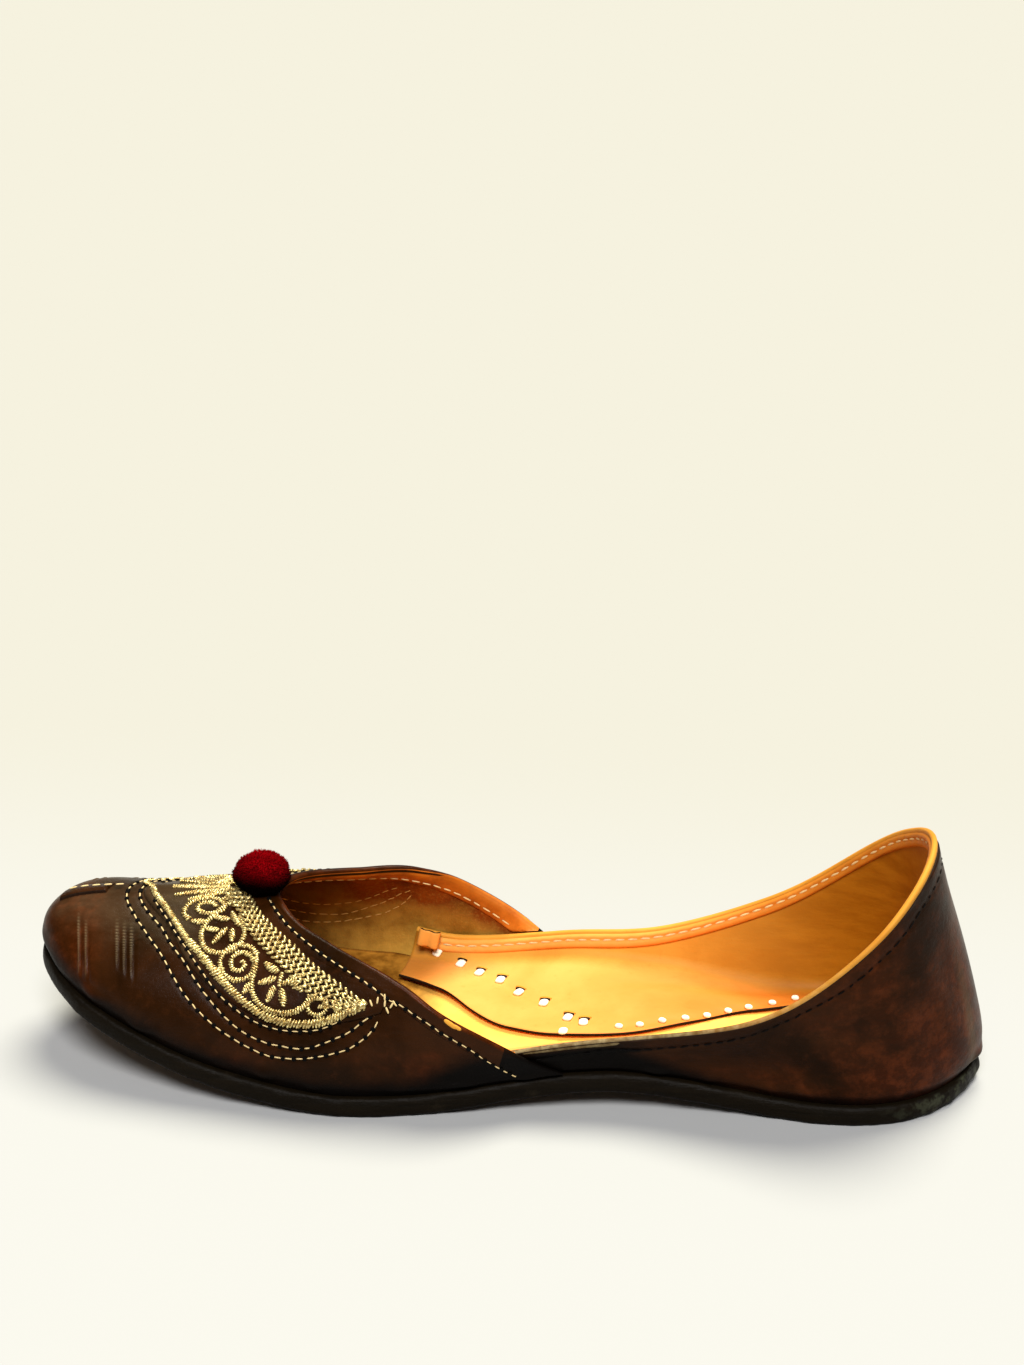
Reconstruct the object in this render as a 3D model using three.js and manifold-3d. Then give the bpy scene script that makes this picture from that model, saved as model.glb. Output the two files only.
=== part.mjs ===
// Traditional leather jutti, one shoe. Millimetres, +X to the toe, +Y to the shoe's left, +Z up.
// The origin is at the middle of the shoe's box, on the floor.
import * as THREE from 'three';
import { LoftGeometry } from 'three/addons/geometries/LoftGeometry.js';
import { mergeVertices } from 'three/addons/utils/BufferGeometryUtils.js';
import Module from 'manifold-3d';

// Driving dimensions of the last. The three heights are measured from the sole's top face, and wallSwell
// is how far the wall leans out over the feather line at the back of the heel.
const footLength = 258;
const heelWidth = 58;
const waistWidth = 55;
const ballWidth = 78;
const heelHeight = 66;
const waistHeight = 18.6;
const instepHeight = 38.5;
const wallSwell = 5;

// The sole: one thickness, arched under the waist and turned up at the toe.
const soleThickness = 5.5;
const soleMargin = 1.2;
const soleBevel = 0.8;
const archHeight = 5.6;
const toeSpring = 22;
const heelKickHeight = 1.8;
const heelFlatStart = 0.09;
const archStart = 0.165;
const archEnd = 0.61;
const toeSpringStart = 0.66;
const toeSpringPower = 1.6;

// The leathers' thicknesses, the gap that pieces keep between them, and the one under a curved trim.
const gap = 0.3;
const trimGap = 0.4;
const vampThickness = 2.2;
const quarterThickness = 1.8;
const lapBond = 0.5;
const insoleThickness = 1.3;
const flangeThickness = 1.2;
const facingThickness = 0.9;
const bandThickness = 1;
const panelThickness = 0.9;
const toeFlapThickness = 0.9;

// The trims' widths, and how far each stays from the edge beside it.
const bandWidth = 6.5;
const throatFacingWidth = 6;
const collarFacingWidth = 6.3;
const edgeInset = 0.4;
const panelClearance = 0.6;

// The pompom at the throat's front.
const pompomWidth = 15.2;
const pompomTop = 5.4;
const pompomBottom = 3.8;
const pompomSetForward = 2.5;
const tuftCount = 42;
const tuftLength = 2.6;
const tuftRadius = 1.7;
const tuftSides = 5;

// One row for each section of the last, from the middle of the heel's back to the tip of the toe.
// foot: the feather line, where wall meets sole. top: the upper edge of the section.
// wide and tall name the size that the row's half widths and its height follow.
// swell is a share of wallSwell; with wallRise, roofRun and roofDrop it bends the wall between foot and top.
// collar: how far up the quarter ends. vamp: how far up the vamp ends. panel: how far up it starts.
// A vamp share below 0, or a panel share above 1, only sets the slope at which that edge runs in.
// flapNear and flapFar: how far the quarter turns in over the insole, as shares of the waist's width.
const sectionColumns = ['name', 'wide', 'footX', 'footY', 'topX', 'topY', 'tall', 'topZ', 'swell',
  'wallRise', 'roofRun', 'roofDrop', 'collar', 'vamp', 'panel', 'flapNear', 'flapFar'];
const sectionRows = [
  ['heelBack', 'heel', 0, 0, 0.054, 0, 'heel', 1, 1, 0.11, 0.3, 0.33, 1, -2, 2, 0.12, 0.12],
  ['heelCorner', 'heel', 0.038, 0.665, 0.071, 0.585, 'heel', 0.93, 0.7, 0.24, 0.3, 0.33, 1, -2, 2, 0.12, 0.12],
  ['heelSide', 'heel', 0.121, 1, 0.121, 1.035, 'heel', 0.76, 0.5, 0.34, 0.3, 0.33, 0.97, -2, 2, 0.13, 0.14],
  ['heelFront', 'waist', 0.245, 0.995, 0.229, 1.31, 'heel', 0.482, 0.36, 0.36, 0.3, 0.33, 0.82, -1.1, 2, 0.15, 0.28],
  ['waistRear', 'waist', 0.367, 1.007, 0.351, 1.175, 'waist', 1, 0.3, 0.33, 0.3, 0.33, 0.68, -0.45, 2, 0.17, 0.7],
  ['waistFront', 'ball', 0.468, 0.792, 0.443, 0.914, 'waist', 1.108, 0.4, 0.28, 0.3, 0.33, 0.49, 0.34, 1.9, 0.17, 0.7],
  ['wing', 'ball', 0.564, 0.91, 0.555, 0.939, 'instep', 0.678, 0.48, 0.36, 0.3, 0.32, 0.34, 0.96, 1.2, 0.17, 0.42],
  ['ballRear', 'ball', 0.654, 1, 0.609, 0.769, 'instep', 0.89, 0.48, 0.44, 0.48, 0.23, 0.3, 0.96, 0.6, 0.17, 0.28],
  ['ball', 'ball', 0.747, 0.964, 0.671, 0.558, 'instep', 0.95, 0.44, 0.46, 0.51, 0.23, 0.2, 1, 0.42, 0.17, 0.2],
  ['toeSide', 'ball', 0.848, 0.846, 0.711, 0.379, 'instep', 0.985, 0.44, 0.52, 0.52, 0.31, 0.2, 1, 0.51, 0.17, 0.2],
  ['toeCorner', 'ball', 0.953, 0.521, 0.733, 0.195, 'instep', 1.01, 0.56, 0.68, 0.61, 0.39, 0.2, 1, 0.67, 0.17, 0.2],
  ['toeTip', 'ball', 1, 0, 0.743, 0, 'instep', 1, 0.66, 0.9, 0.74, 0.15, 0.2, 1, 0.685, 0.17, 0.2],
];
const sections = sectionRows.map((row) => (
  Object.fromEntries(row.map((value, i) => [sectionColumns[i], value]))));
const toeStation = sections.length - 1;
const halfWidths = { heel: heelWidth / 2, waist: waistWidth / 2, ball: ballWidth / 2 };
const heights = { heel: heelHeight, waist: waistHeight, instep: instepHeight };

// Stations where pieces start and end: whole numbers are the rows above.
const quarterFront = 6.6;
const vampRear = 4.62;
const panelTip = 6.85;
const facingRear = 5 + 1 / 3;
const facingFront = 6.5;
const bandRear = 5 + 1 / 3;
const toeFlapNear = 10.94;
const toeFlapFar = 11.26;
const toeFlapLow = 0.3;
const toeFlapHigh = 0.6;
const leastVamp = 0.04;

// How far the wall's surface is set in under the vamp, so that the two lapped leathers share one line.
const lapStart = 3.5;
const lapEnd = 7;
const vampLap = vampThickness - lapBond;

// Height of the sole's underside over the floor, at a distance from the heel's back.
function soleRise(x) {
  const share = x / footLength;
  const heel = heelKickHeight * Math.max(0, (heelFlatStart - share) / heelFlatStart) ** 2;
  const archShare = THREE.MathUtils.clamp((share - archStart) / (archEnd - archStart), 0, 1);
  const arch = archHeight * Math.sin(Math.PI * archShare) ** 2;
  const toeShare = Math.max(0, (share - toeSpringStart) / (1 - toeSpringStart));
  return heel + arch + toeSpring * toeShare ** toeSpringPower;
}

function soleTop(x) {
  return soleRise(x) + soleThickness;
}

// A station runs from 0 at the heel to the toe on the left side, and on past it back along the right.
function fold(station) {
  const round = 2 * toeStation;
  const around = THREE.MathUtils.euclideanModulo(station, round);
  return around <= toeStation ? { at: around, side: 1 } : { at: round - around, side: -1 };
}

// Smooth value of a table column between its rows, mirrored past the heel and the toe.
function between(valueOf, at, turns) {
  const row = Math.min(Math.floor(at), toeStation - 1);
  const share = at - row;
  const mirrored = turns ? -1 : 1;
  const last = toeStation - 1;
  const before = row > 0 ? valueOf(sections[row - 1]) : mirrored * valueOf(sections[1]);
  const after = row < last ? valueOf(sections[row + 2]) : mirrored * valueOf(sections[last]);
  const start = valueOf(sections[row]);
  const end = valueOf(sections[row + 1]);
  const startSlope = (end - before) / 2;
  const endSlope = (after - start) / 2;
  const rise = end - start;
  const bend = 3 * rise - 2 * startSlope - endSlope;
  const twist = startSlope + endSlope - 2 * rise;
  return start + share * (startSlope + share * (bend + share * twist));
}

function column(name, at) {
  return between((row) => row[name], at, false);
}

// A point of the feather line in plan, and the direction that leads straight out of the shoe there.
function footPoint(station) {
  const { at, side } = fold(station);
  const x = between((row) => row.footX * footLength, at, false);
  const y = between((row) => row.footY * halfWidths[row.wide], at, true);
  return new THREE.Vector2(x, side * y);
}

const probe = 0.01;
function footOutward(station) {
  const along = footPoint(station + probe).sub(footPoint(station - probe)).normalize();
  return new THREE.Vector2(-along.y, along.x);
}

// The section of the last at a station: a curve from the feather line up to its upper edge.
function sectionCurve(station) {
  const { at, side } = fold(station);
  const foot = footPoint(station);
  const out = footOutward(station);
  const start = new THREE.Vector3(foot.x, foot.y, soleTop(foot.x) + gap);
  const topX = between((row) => row.topX * footLength, at, false);
  const topY = side * between((row) => row.topY * halfWidths[row.wide], at, true);
  const rise = between((row) => row.topZ * heights[row.tall], at, false);
  const end = new THREE.Vector3(topX, topY, soleTop(topX) + rise);
  const height = end.z - start.z;
  const swell = wallSwell * column('swell', at);
  const lower = new THREE.Vector3(out.x * swell, out.y * swell, height * column('wallRise', at)).add(start);
  const upper = end.clone();
  upper.x += (start.x - end.x) * column('roofRun', at);
  upper.y += (start.y - end.y) * column('roofRun', at);
  upper.z -= height * column('roofDrop', at);
  return new THREE.CubicBezierCurve3(start, lower, upper, end);
}

function setBack(station) {
  return vampLap * THREE.MathUtils.smoothstep(fold(station).at, lapStart, lapEnd);
}

// A point of the wall: share is how far up the section it is, and depth how far out of its surface.
const straightShare = 0.15;
function wallPoint(station, share, depth) {
  const curve = sectionCurve(station);
  const point = curve.getPoint(share);
  const ahead = sectionCurve(station + probe).getPoint(share);
  const behind = sectionCurve(station - probe).getPoint(share);
  const up = curve.getPoint(share + probe).sub(curve.getPoint(share - probe));
  const normal = up.cross(ahead.sub(behind)).normalize();
  const out = footOutward(station);
  const level = new THREE.Vector3(out.x, out.y, 0);
  const direction = level.lerp(normal, Math.min(1, share / straightShare)).normalize();
  const moved = point.clone().addScaledVector(direction, depth - setBack(station));
  const foot = footPoint(station);
  const low = Math.max(0, 1 - share) ** 3;
  moved.z += (soleTop(foot.x + (moved.x - point.x)) - soleTop(foot.x)) * low;
  return moved;
}

// A point that lies over the sole, a distance in from the feather line and a height over its top face.
function floorPoint(station, inset, height) {
  const foot = footPoint(station).addScaledVector(footOutward(station), -inset);
  return new THREE.Vector3(foot.x, foot.y, soleTop(foot.x) + height);
}

const lengthSteps = 12;
function shareOf(length, station) {
  return length / sectionCurve(fold(station).at).getSpacedPoints(lengthSteps).reduce(
    (sum, point, i, all) => sum + (i > 0 ? point.distanceTo(all[i - 1]) : 0), 0);
}

function vampShare(station) {
  return Math.max(leastVamp, column('vamp', fold(station).at));
}

function collarShare(station) {
  return column('collar', fold(station).at);
}

// Evenly spaced values, and stations that are closer together round the heel and the toe.
function steps(from, to, count) {
  return Array.from({ length: count + 1 }, (_, i) => from + (to - from) * (i / count));
}

const wideStep = 1 / 3;
const fineStep = 1 / 4;
const fineEnds = 2;
function stations(from, to) {
  const list = [];
  let station = from;
  while (station < to - fineStep / 2) {
    list.push(station);
    const { at } = fold(station + probe);
    const fine = at < fineEnds || at > toeStation - fineEnds;
    const step = fine ? fineStep : wideStep;
    station = Math.min(to, Math.floor((station + probe) / step) * step + step);
  }
  return [...list, to];
}

// A closed body from a geometry: shared corners are merged, and empty triangles left out.
const mergeDistance = 1e-4;
function closedBody(geometry) {
  geometry.deleteAttribute('normal');
  geometry.deleteAttribute('uv');
  const merged = mergeVertices(geometry, mergeDistance);
  const index = merged.getIndex().array;
  const kept = [];
  for (let i = 0; i < index.length; i += 3) {
    const [a, b, c] = [index[i], index[i + 1], index[i + 2]];
    if (a !== b && b !== c && c !== a) kept.push(a, b, c);
  }
  merged.setIndex(kept);
  merged.computeVertexNormals();
  return merged;
}

function loft(rings, capped) {
  const skin = new LoftGeometry(rings, { capStart: capped, capEnd: capped });
  return closedBody(new THREE.BufferGeometry().copy(skin));
}

// A strip of leather that lies along the wall at a list of shares, between two depths.
function wallStrip({ from, to, sharesAt, inner, outer }) {
  const rings = stations(from, to).map((station) => {
    const shares = sharesAt(station);
    const outside = shares.map((share) => wallPoint(station, share, outer));
    const inside = shares.map((share) => wallPoint(station, share, inner)).reverse();
    return [...outside, ...inside];
  });
  return loft(rings, true);
}

// Booleans join the two halves of the upper, and the tufts of the pompom.
const wasm = await Module();
wasm.setup();

function toSolid(geometry) {
  const vertProperties = new Float32Array(geometry.getAttribute('position').array);
  const triVerts = new Uint32Array(geometry.getIndex().array);
  return new wasm.Manifold(new wasm.Mesh({ numProp: 3, vertProperties, triVerts }));
}

function toGeometry(solid) {
  const mesh = solid.getMesh();
  const geometry = new THREE.BufferGeometry();
  geometry.setAttribute('position', new THREE.BufferAttribute(mesh.vertProperties, mesh.numProp));
  geometry.setIndex(new THREE.BufferAttribute(mesh.triVerts, 1));
  geometry.computeVertexNormals();
  return geometry;
}

// Outsole: an even slab under the feather line with a margin all round and a worn lower edge.
const soleStep = 0.25;
function outsole() {
  const rings = steps(0, toeStation, toeStation / soleStep).map((station) => {
    const edge = (inset, height) => {
      const point = floorPoint(station, inset - soleMargin, 0);
      point.z = soleRise(point.x) + height;
      return point;
    };
    const left = [edge(soleBevel, 0), edge(0, soleBevel), edge(0, soleThickness)];
    const right = left.map((point) => new THREE.Vector3(point.x, -point.y, point.z)).reverse();
    return [...left, ...right];
  });
  return loft(rings, false);
}

// Insole: a thin sock on the outsole, clear of the walls.
function insole() {
  const rings = stations(0, toeStation).map((station) => {
    const inset = quarterThickness + gap + setBack(station);
    const left = [floorPoint(station, inset, gap), floorPoint(station, inset, gap + insoleThickness)];
    const right = left.map((point) => new THREE.Vector3(point.x, -point.y, point.z)).reverse();
    return [...left, ...right];
  });
  return loft(rings, false);
}

// The quarter: a wall round the heel whose lower edge turns in over the insole.
const flangeBottom = gap + insoleThickness + gap;
const flangeTop = flangeBottom + flangeThickness;
const flangeBend = 1;
const wallSteps = 7;
const flangeSteps = 3;
function bendShare(station) {
  const wallHeight = sectionCurve(station).getPoint(1).z - soleTop(footPoint(station).x);
  return (flangeTop + flangeBend) / wallHeight;
}

function quarter() {
  const rings = stations(-quarterFront, quarterFront).map((station) => {
    const { at, side } = fold(station);
    const top = collarShare(station);
    const outside = steps(0, top, wallSteps).map((share) => wallPoint(station, share, 0));
    const inside = steps(top, bendShare(station), wallSteps - 1).map((share) => (
      wallPoint(station, share, -quarterThickness)));
    const wallInset = quarterThickness + setBack(station);
    const width = column(side > 0 ? 'flapNear' : 'flapFar', at) * waistWidth;
    const insets = steps(wallInset + flangeBend, wallInset + width, flangeSteps);
    const flange = insets.map((inset) => floorPoint(station, inset, flangeTop));
    const under = [...insets].reverse().map((inset) => floorPoint(station, inset, flangeBottom));
    const seat = [floorPoint(station, wallInset, flangeBottom), floorPoint(station, wallInset, gap)];
    return [...outside, ...inside, ...flange, ...under, ...seat];
  });
  return loft(rings, true);
}

// The vamp: the wall round the toe. It laps over the quarter, with a step at its rear edge.
const vampSteps = 7;
const edgeSteps = 2;
function bandLow(station) {
  const top = vampShare(station);
  return Math.max(top / 2, top - shareOf(bandWidth, station));
}

function vamp() {
  return wallStrip({
    from: vampRear, to: 2 * toeStation - vampRear,
    sharesAt: (station) => [
      ...steps(0, bandLow(station), vampSteps),
      ...steps(bandLow(station), vampShare(station), edgeSteps).slice(1),
    ],
    inner: -lapBond, outer: vampLap,
  });
}

function upper() {
  return toGeometry(toSolid(vamp()).add(toSolid(quarter())));
}

// What lies on the vamp: the band along the throat and the embroidered crescent beside it.
const overVamp = vampLap + trimGap;
function throatBand() {
  return wallStrip({
    from: bandRear, to: 2 * toeStation - bandRear,
    sharesAt: (station) => (
      steps(bandLow(station), vampShare(station) - shareOf(edgeInset, station), edgeSteps)),
    inner: overVamp, outer: overVamp + bandThickness,
  });
}

const panelSteps = 5;
function embroideredPanel() {
  return wallStrip({
    from: panelTip, to: 2 * toeStation - panelTip,
    sharesAt: (station) => {
      const top = bandLow(station) - shareOf(panelClearance, station);
      return steps(column('panel', fold(station).at), top, panelSteps);
    },
    inner: overVamp, outer: overVamp + panelThickness,
  });
}

function toeSeam() {
  return wallStrip({
    from: toeFlapNear, to: toeFlapFar,
    sharesAt: () => steps(toeFlapLow, toeFlapHigh, panelSteps),
    inner: overVamp, outer: overVamp + toeFlapThickness,
  });
}

// The facings inside the throat and the collar.
function throatFacing() {
  return wallStrip({
    from: facingRear, to: 2 * toeStation - facingRear,
    sharesAt: (station) => {
      const top = vampShare(station);
      const overCollar = collarShare(station) + shareOf(gap, station);
      const low = Math.max(top - shareOf(throatFacingWidth, station), overCollar);
      return steps(low, top - shareOf(edgeInset, station), edgeSteps);
    },
    inner: -lapBond - trimGap - facingThickness, outer: -lapBond - trimGap,
  });
}

function collarFacing() {
  return wallStrip({
    from: -facingFront, to: facingFront,
    sharesAt: (station) => {
      const top = collarShare(station);
      const overBend = bendShare(station) + shareOf(gap, station);
      const low = Math.max(top - shareOf(collarFacingWidth, station), overBend);
      return steps(low, top - shareOf(edgeInset, station), edgeSteps);
    },
    inner: -quarterThickness - trimGap - facingThickness, outer: -quarterThickness - trimGap,
  });
}

// The pompom: a squashed ball of wool with its locks fused on, seated on the throat's band.
const goldenAngle = Math.PI * (3 - Math.sqrt(5));
const coreDetail = 2;
const shoulderWidth = 0.7;
const shoulderHeight = 1 / 3;
function pompom() {
  const radius = pompomWidth / 2;
  const seatShare = 1 - shareOf(pompomSetForward, toeStation);
  const seat = wallPoint(toeStation, seatShare, overVamp + bandThickness + gap);
  const middle = new THREE.Vector3(seat.x, seat.y, seat.z + pompomBottom);
  const squash = (point) => {
    point.z *= (point.z > 0 ? pompomTop : pompomBottom) / radius;
    return point.add(middle);
  };
  const shaped = (geometry) => {
    const position = geometry.getAttribute('position');
    const point = new THREE.Vector3();
    for (let i = 0; i < position.count; i += 1) {
      squash(point.fromBufferAttribute(position, i));
      position.setXYZ(i, point.x, point.y, point.z);
    }
    return toSolid(closedBody(geometry));
  };
  const coreRadius = radius - tuftLength / 2;
  const core = new THREE.IcosahedronGeometry(coreRadius, coreDetail);
  const profile = [
    new THREE.Vector2(0, -tuftLength / 2),
    new THREE.Vector2(tuftRadius, 0),
    new THREE.Vector2(tuftRadius * shoulderWidth, tuftLength * shoulderHeight),
    new THREE.Vector2(0, tuftLength / 2),
  ];
  let ball = shaped(core);
  for (let i = 0; i < tuftCount; i += 1) {
    const height = 1 - (2 * i + 1) / tuftCount;
    const ring = Math.sqrt(1 - height * height);
    const turn = goldenAngle * i;
    const out = new THREE.Vector3(ring * Math.cos(turn), ring * Math.sin(turn), height);
    const tuft = new THREE.LatheGeometry(profile, tuftSides);
    tuft.applyQuaternion(new THREE.Quaternion().setFromUnitVectors(new THREE.Vector3(0, 1, 0), out));
    tuft.translate(...out.multiplyScalar(coreRadius).toArray());
    ball = ball.add(shaped(tuft));
  }
  return toGeometry(ball);
}

// Colours, roughness and metalness of each piece.
const pieces = [
  { name: 'outsole', shape: outsole, color: 0x1e190f, roughness: 0.62, metalness: 0 },
  { name: 'insole', shape: insole, color: 0xcf9a4e, roughness: 0.7, metalness: 0 },
  { name: 'upper', shape: upper, color: 0x3d1f10, roughness: 0.33, metalness: 0 },
  { name: 'embroidered_panel', shape: embroideredPanel, color: 0xcdb469, roughness: 0.4, metalness: 0.4 },
  { name: 'throat_band', shape: throatBand, color: 0x3a1d0f, roughness: 0.35, metalness: 0 },
  { name: 'throat_facing', shape: throatFacing, color: 0xb4640f, roughness: 0.6, metalness: 0 },
  { name: 'collar_facing', shape: collarFacing, color: 0xe9a95c, roughness: 0.6, metalness: 0 },
  { name: 'toe_seam', shape: toeSeam, color: 0x44200f, roughness: 0.33, metalness: 0 },
  { name: 'pompom', shape: pompom, color: 0xa80a22, roughness: 0.95, metalness: 0 },
];

const jutti = new THREE.Group();
for (const { name, shape, color, roughness, metalness } of pieces) {
  const mesh = new THREE.Mesh(shape(), new THREE.MeshStandardMaterial({ color, roughness, metalness }));
  mesh.name = name;
  jutti.add(mesh);
}

const box = new THREE.Box3().setFromObject(jutti);
const centre = box.getCenter(new THREE.Vector3());
jutti.position.set(-centre.x, -centre.y, -box.min.z);
jutti.updateMatrixWorld(true);

export default jutti;
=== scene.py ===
"""The looks of one leather jutti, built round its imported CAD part. Metres, +X to the toe, +Z up."""

import math

import bmesh
import bpy
import numpy as np
from mathutils import Matrix, Vector


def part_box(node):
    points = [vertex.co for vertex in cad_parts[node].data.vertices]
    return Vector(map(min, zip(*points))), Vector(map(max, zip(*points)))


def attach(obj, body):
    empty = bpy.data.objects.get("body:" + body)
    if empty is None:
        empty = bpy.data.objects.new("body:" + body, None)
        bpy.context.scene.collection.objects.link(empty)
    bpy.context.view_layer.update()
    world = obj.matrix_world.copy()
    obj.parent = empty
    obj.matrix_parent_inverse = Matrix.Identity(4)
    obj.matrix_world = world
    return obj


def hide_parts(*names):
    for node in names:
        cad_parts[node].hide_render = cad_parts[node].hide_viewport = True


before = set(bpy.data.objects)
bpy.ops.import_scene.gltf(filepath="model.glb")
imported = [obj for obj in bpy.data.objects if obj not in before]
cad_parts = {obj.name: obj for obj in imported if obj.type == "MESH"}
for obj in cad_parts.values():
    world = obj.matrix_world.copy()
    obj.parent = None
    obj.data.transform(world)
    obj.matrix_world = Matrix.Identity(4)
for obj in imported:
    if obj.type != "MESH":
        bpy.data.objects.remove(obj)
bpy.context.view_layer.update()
MM = 0.001

# The camera stands where the photograph's stood: in front of the shoe's left side, 30 degrees above it.
CAMERA_PLACE = Vector((-0.0860, 0.8701, 0.5320))
AIM_POINT = Vector((-0.0008, 0, 0.1128))
CAMERA_ROLL = math.radians(0.228)
LENS = 96.6
SENSOR = 36


def make_camera():
    data = bpy.data.cameras.new("camera")
    data.lens = LENS
    data.sensor_width = SENSOR
    data.clip_start = 0.05
    data.clip_end = 50
    camera = bpy.data.objects.new("camera", data)
    bpy.context.scene.collection.objects.link(camera)
    camera.rotation_mode = "QUATERNION"
    camera.location = CAMERA_PLACE
    aim = (AIM_POINT - CAMERA_PLACE).to_track_quat("-Z", "Y")
    camera.rotation_quaternion = aim @ Matrix.Rotation(CAMERA_ROLL, 3, "Z").to_quaternion()
    bpy.context.scene.camera = camera


make_camera()

# The last, as in the CAD part: driving sizes, and one row for each of its sections from heel to toe.
FOOT_LENGTH = 258 * MM
HALF_WIDTHS = {"heel": 29 * MM, "waist": 27.5 * MM, "ball": 39 * MM}
HEIGHTS = {"heel": 66 * MM, "waist": 18.6 * MM, "instep": 38.5 * MM}
WALL_SWELL = 5 * MM
SOLE_THICKNESS = 5.5 * MM
SOLE_MARGIN = 1.2 * MM
ARCH_HEIGHT = 5.6 * MM
TOE_SPRING = 22 * MM
HEEL_KICK_HEIGHT = 1.8 * MM
HEEL_FLAT_START = 0.09
ARCH_START = 0.165
ARCH_END = 0.61
TOE_SPRING_START = 0.66
TOE_SPRING_POWER = 1.6
FEATHER_GAP = 0.3 * MM

COLUMNS = ("wide", "foot_x", "foot_y", "top_x", "top_y", "tall", "top_z", "swell", "wall_rise",
           "roof_run", "roof_drop", "collar", "vamp", "panel", "flap_near", "flap_far")
ROWS = (
    ("heel", 0, 0, 0.054, 0, "heel", 1, 1, 0.11, 0.3, 0.33, 1, -2, 2, 0.12, 0.12),
    ("heel", 0.038, 0.665, 0.071, 0.585, "heel", 0.93, 0.7, 0.24, 0.3, 0.33, 1, -2, 2, 0.12, 0.12),
    ("heel", 0.121, 1, 0.121, 1.035, "heel", 0.76, 0.5, 0.34, 0.3, 0.33, 0.97, -2, 2, 0.13, 0.07),
    ("waist", 0.245, 0.995, 0.229, 1.31, "heel", 0.482, 0.36, 0.36, 0.3, 0.33, 0.82, -1.1, 2, 0.15, 0.265),
    ("waist", 0.367, 1.007, 0.351, 1.175, "waist", 1, 0.3, 0.33, 0.3, 0.33, 0.68, -0.45, 2, 0.17, 0.69),
    ("ball", 0.468, 0.792, 0.443, 0.914, "waist", 1.108, 0.4, 0.28, 0.3, 0.33, 0.49, 0.34, 1.9, 0.17, 0.675),
    ("ball", 0.564, 0.91, 0.555, 0.939, "instep", 0.678, 0.48, 0.36, 0.3, 0.32, 0.34, 0.96, 1.2, 0.17, 0.335),
    ("ball", 0.654, 1, 0.609, 0.769, "instep", 0.89, 0.48, 0.44, 0.48, 0.23, 0.3, 0.96, 0.6, 0.17, 0.21),
    ("ball", 0.747, 0.964, 0.671, 0.558, "instep", 0.95, 0.44, 0.46, 0.51, 0.23, 0.2, 1, 0.42, 0.17, 0.2),
    ("ball", 0.848, 0.846, 0.711, 0.379, "instep", 0.985, 0.44, 0.52, 0.52, 0.31, 0.2, 1, 0.51, 0.17, 0.2),
    ("ball", 0.953, 0.521, 0.733, 0.195, "instep", 1.01, 0.56, 0.68, 0.61, 0.39, 0.2, 1, 0.67, 0.17, 0.2),
    ("ball", 1, 0, 0.743, 0, "instep", 1, 0.66, 0.9, 0.74, 0.15, 0.2, 1, 0.685, 0.17, 0.2),
)
TOE = len(ROWS) - 1
AROUND = 2 * TOE
SCALES = {
    "foot_x": [FOOT_LENGTH] * len(ROWS),
    "top_x": [FOOT_LENGTH] * len(ROWS),
    "foot_y": [HALF_WIDTHS[row[0]] for row in ROWS],
    "top_y": [HALF_WIDTHS[row[0]] for row in ROWS],
    "top_z": [HEIGHTS[row[COLUMNS.index("tall")]] for row in ROWS],
    "swell": [WALL_SWELL] * len(ROWS),
    "flap_near": [2 * HALF_WIDTHS["waist"]] * len(ROWS),
    "flap_far": [2 * HALF_WIDTHS["waist"]] * len(ROWS),
}
WORDS = ("wide", "tall")
SIDEWAYS = ("foot_y", "top_y")
LAST = {
    name: np.array([row[i] for row in ROWS], float) * SCALES.get(name, 1)
    for i, name in enumerate(COLUMNS) if name not in WORDS
}
HEEL_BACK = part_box("outsole")[0].x + SOLE_MARGIN
PROBE = 0.01
STRAIGHT_SHARE = 0.15
LAP_START = 3.5
LAP_END = 7
VAMP_LAP = 1.7 * MM


def sole_rise(x):
    """Height of the sole's underside over the floor, at a distance from the heel's back."""
    share = x / FOOT_LENGTH
    heel = HEEL_KICK_HEIGHT * np.maximum(0, (HEEL_FLAT_START - share) / HEEL_FLAT_START) ** 2
    arch = ARCH_HEIGHT * np.sin(np.pi * np.clip((share - ARCH_START) / (ARCH_END - ARCH_START), 0, 1)) ** 2
    toe = np.maximum(0, (share - TOE_SPRING_START) / (1 - TOE_SPRING_START))
    return heel + arch + TOE_SPRING * toe ** TOE_SPRING_POWER


def sole_top(x):
    return sole_rise(x) + SOLE_THICKNESS


def fold(station):
    """A station runs from 0 at the heel along the left side to the toe, and on back along the right."""
    around = np.mod(station, AROUND)
    left = around <= TOE
    return np.where(left, around, AROUND - around), np.where(left, 1.0, -1.0)


def column(name, station):
    """Smooth value of one column of the last at any station."""
    at, side = fold(station)
    sign = -1 if name in SIDEWAYS else 1
    values = LAST[name]
    padded = np.concatenate([[sign * values[1]], values, [sign * values[-2]]])
    row = np.clip(np.floor(at).astype(int), 0, TOE - 1)
    share = at - row
    before, start, end, after = (padded[row + step] for step in range(4))
    start_slope = (end - before) / 2
    end_slope = (after - start) / 2
    bend = 3 * (end - start) - 2 * start_slope - end_slope
    twist = start_slope + end_slope - 2 * (end - start)
    value = start + share * (start_slope + share * (bend + share * twist))
    return side * value if name in SIDEWAYS else value


def unit(vectors):
    return vectors / np.maximum(np.linalg.norm(vectors, axis=-1, keepdims=True), 1e-12)


def foot_outward(station):
    """The direction that leads straight out of the shoe at the feather line."""
    along = [column(name, station + PROBE) - column(name, station - PROBE) for name in ("foot_x", "foot_y")]
    return unit(np.stack([-along[1], along[0], np.zeros_like(along[0])], -1))


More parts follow.
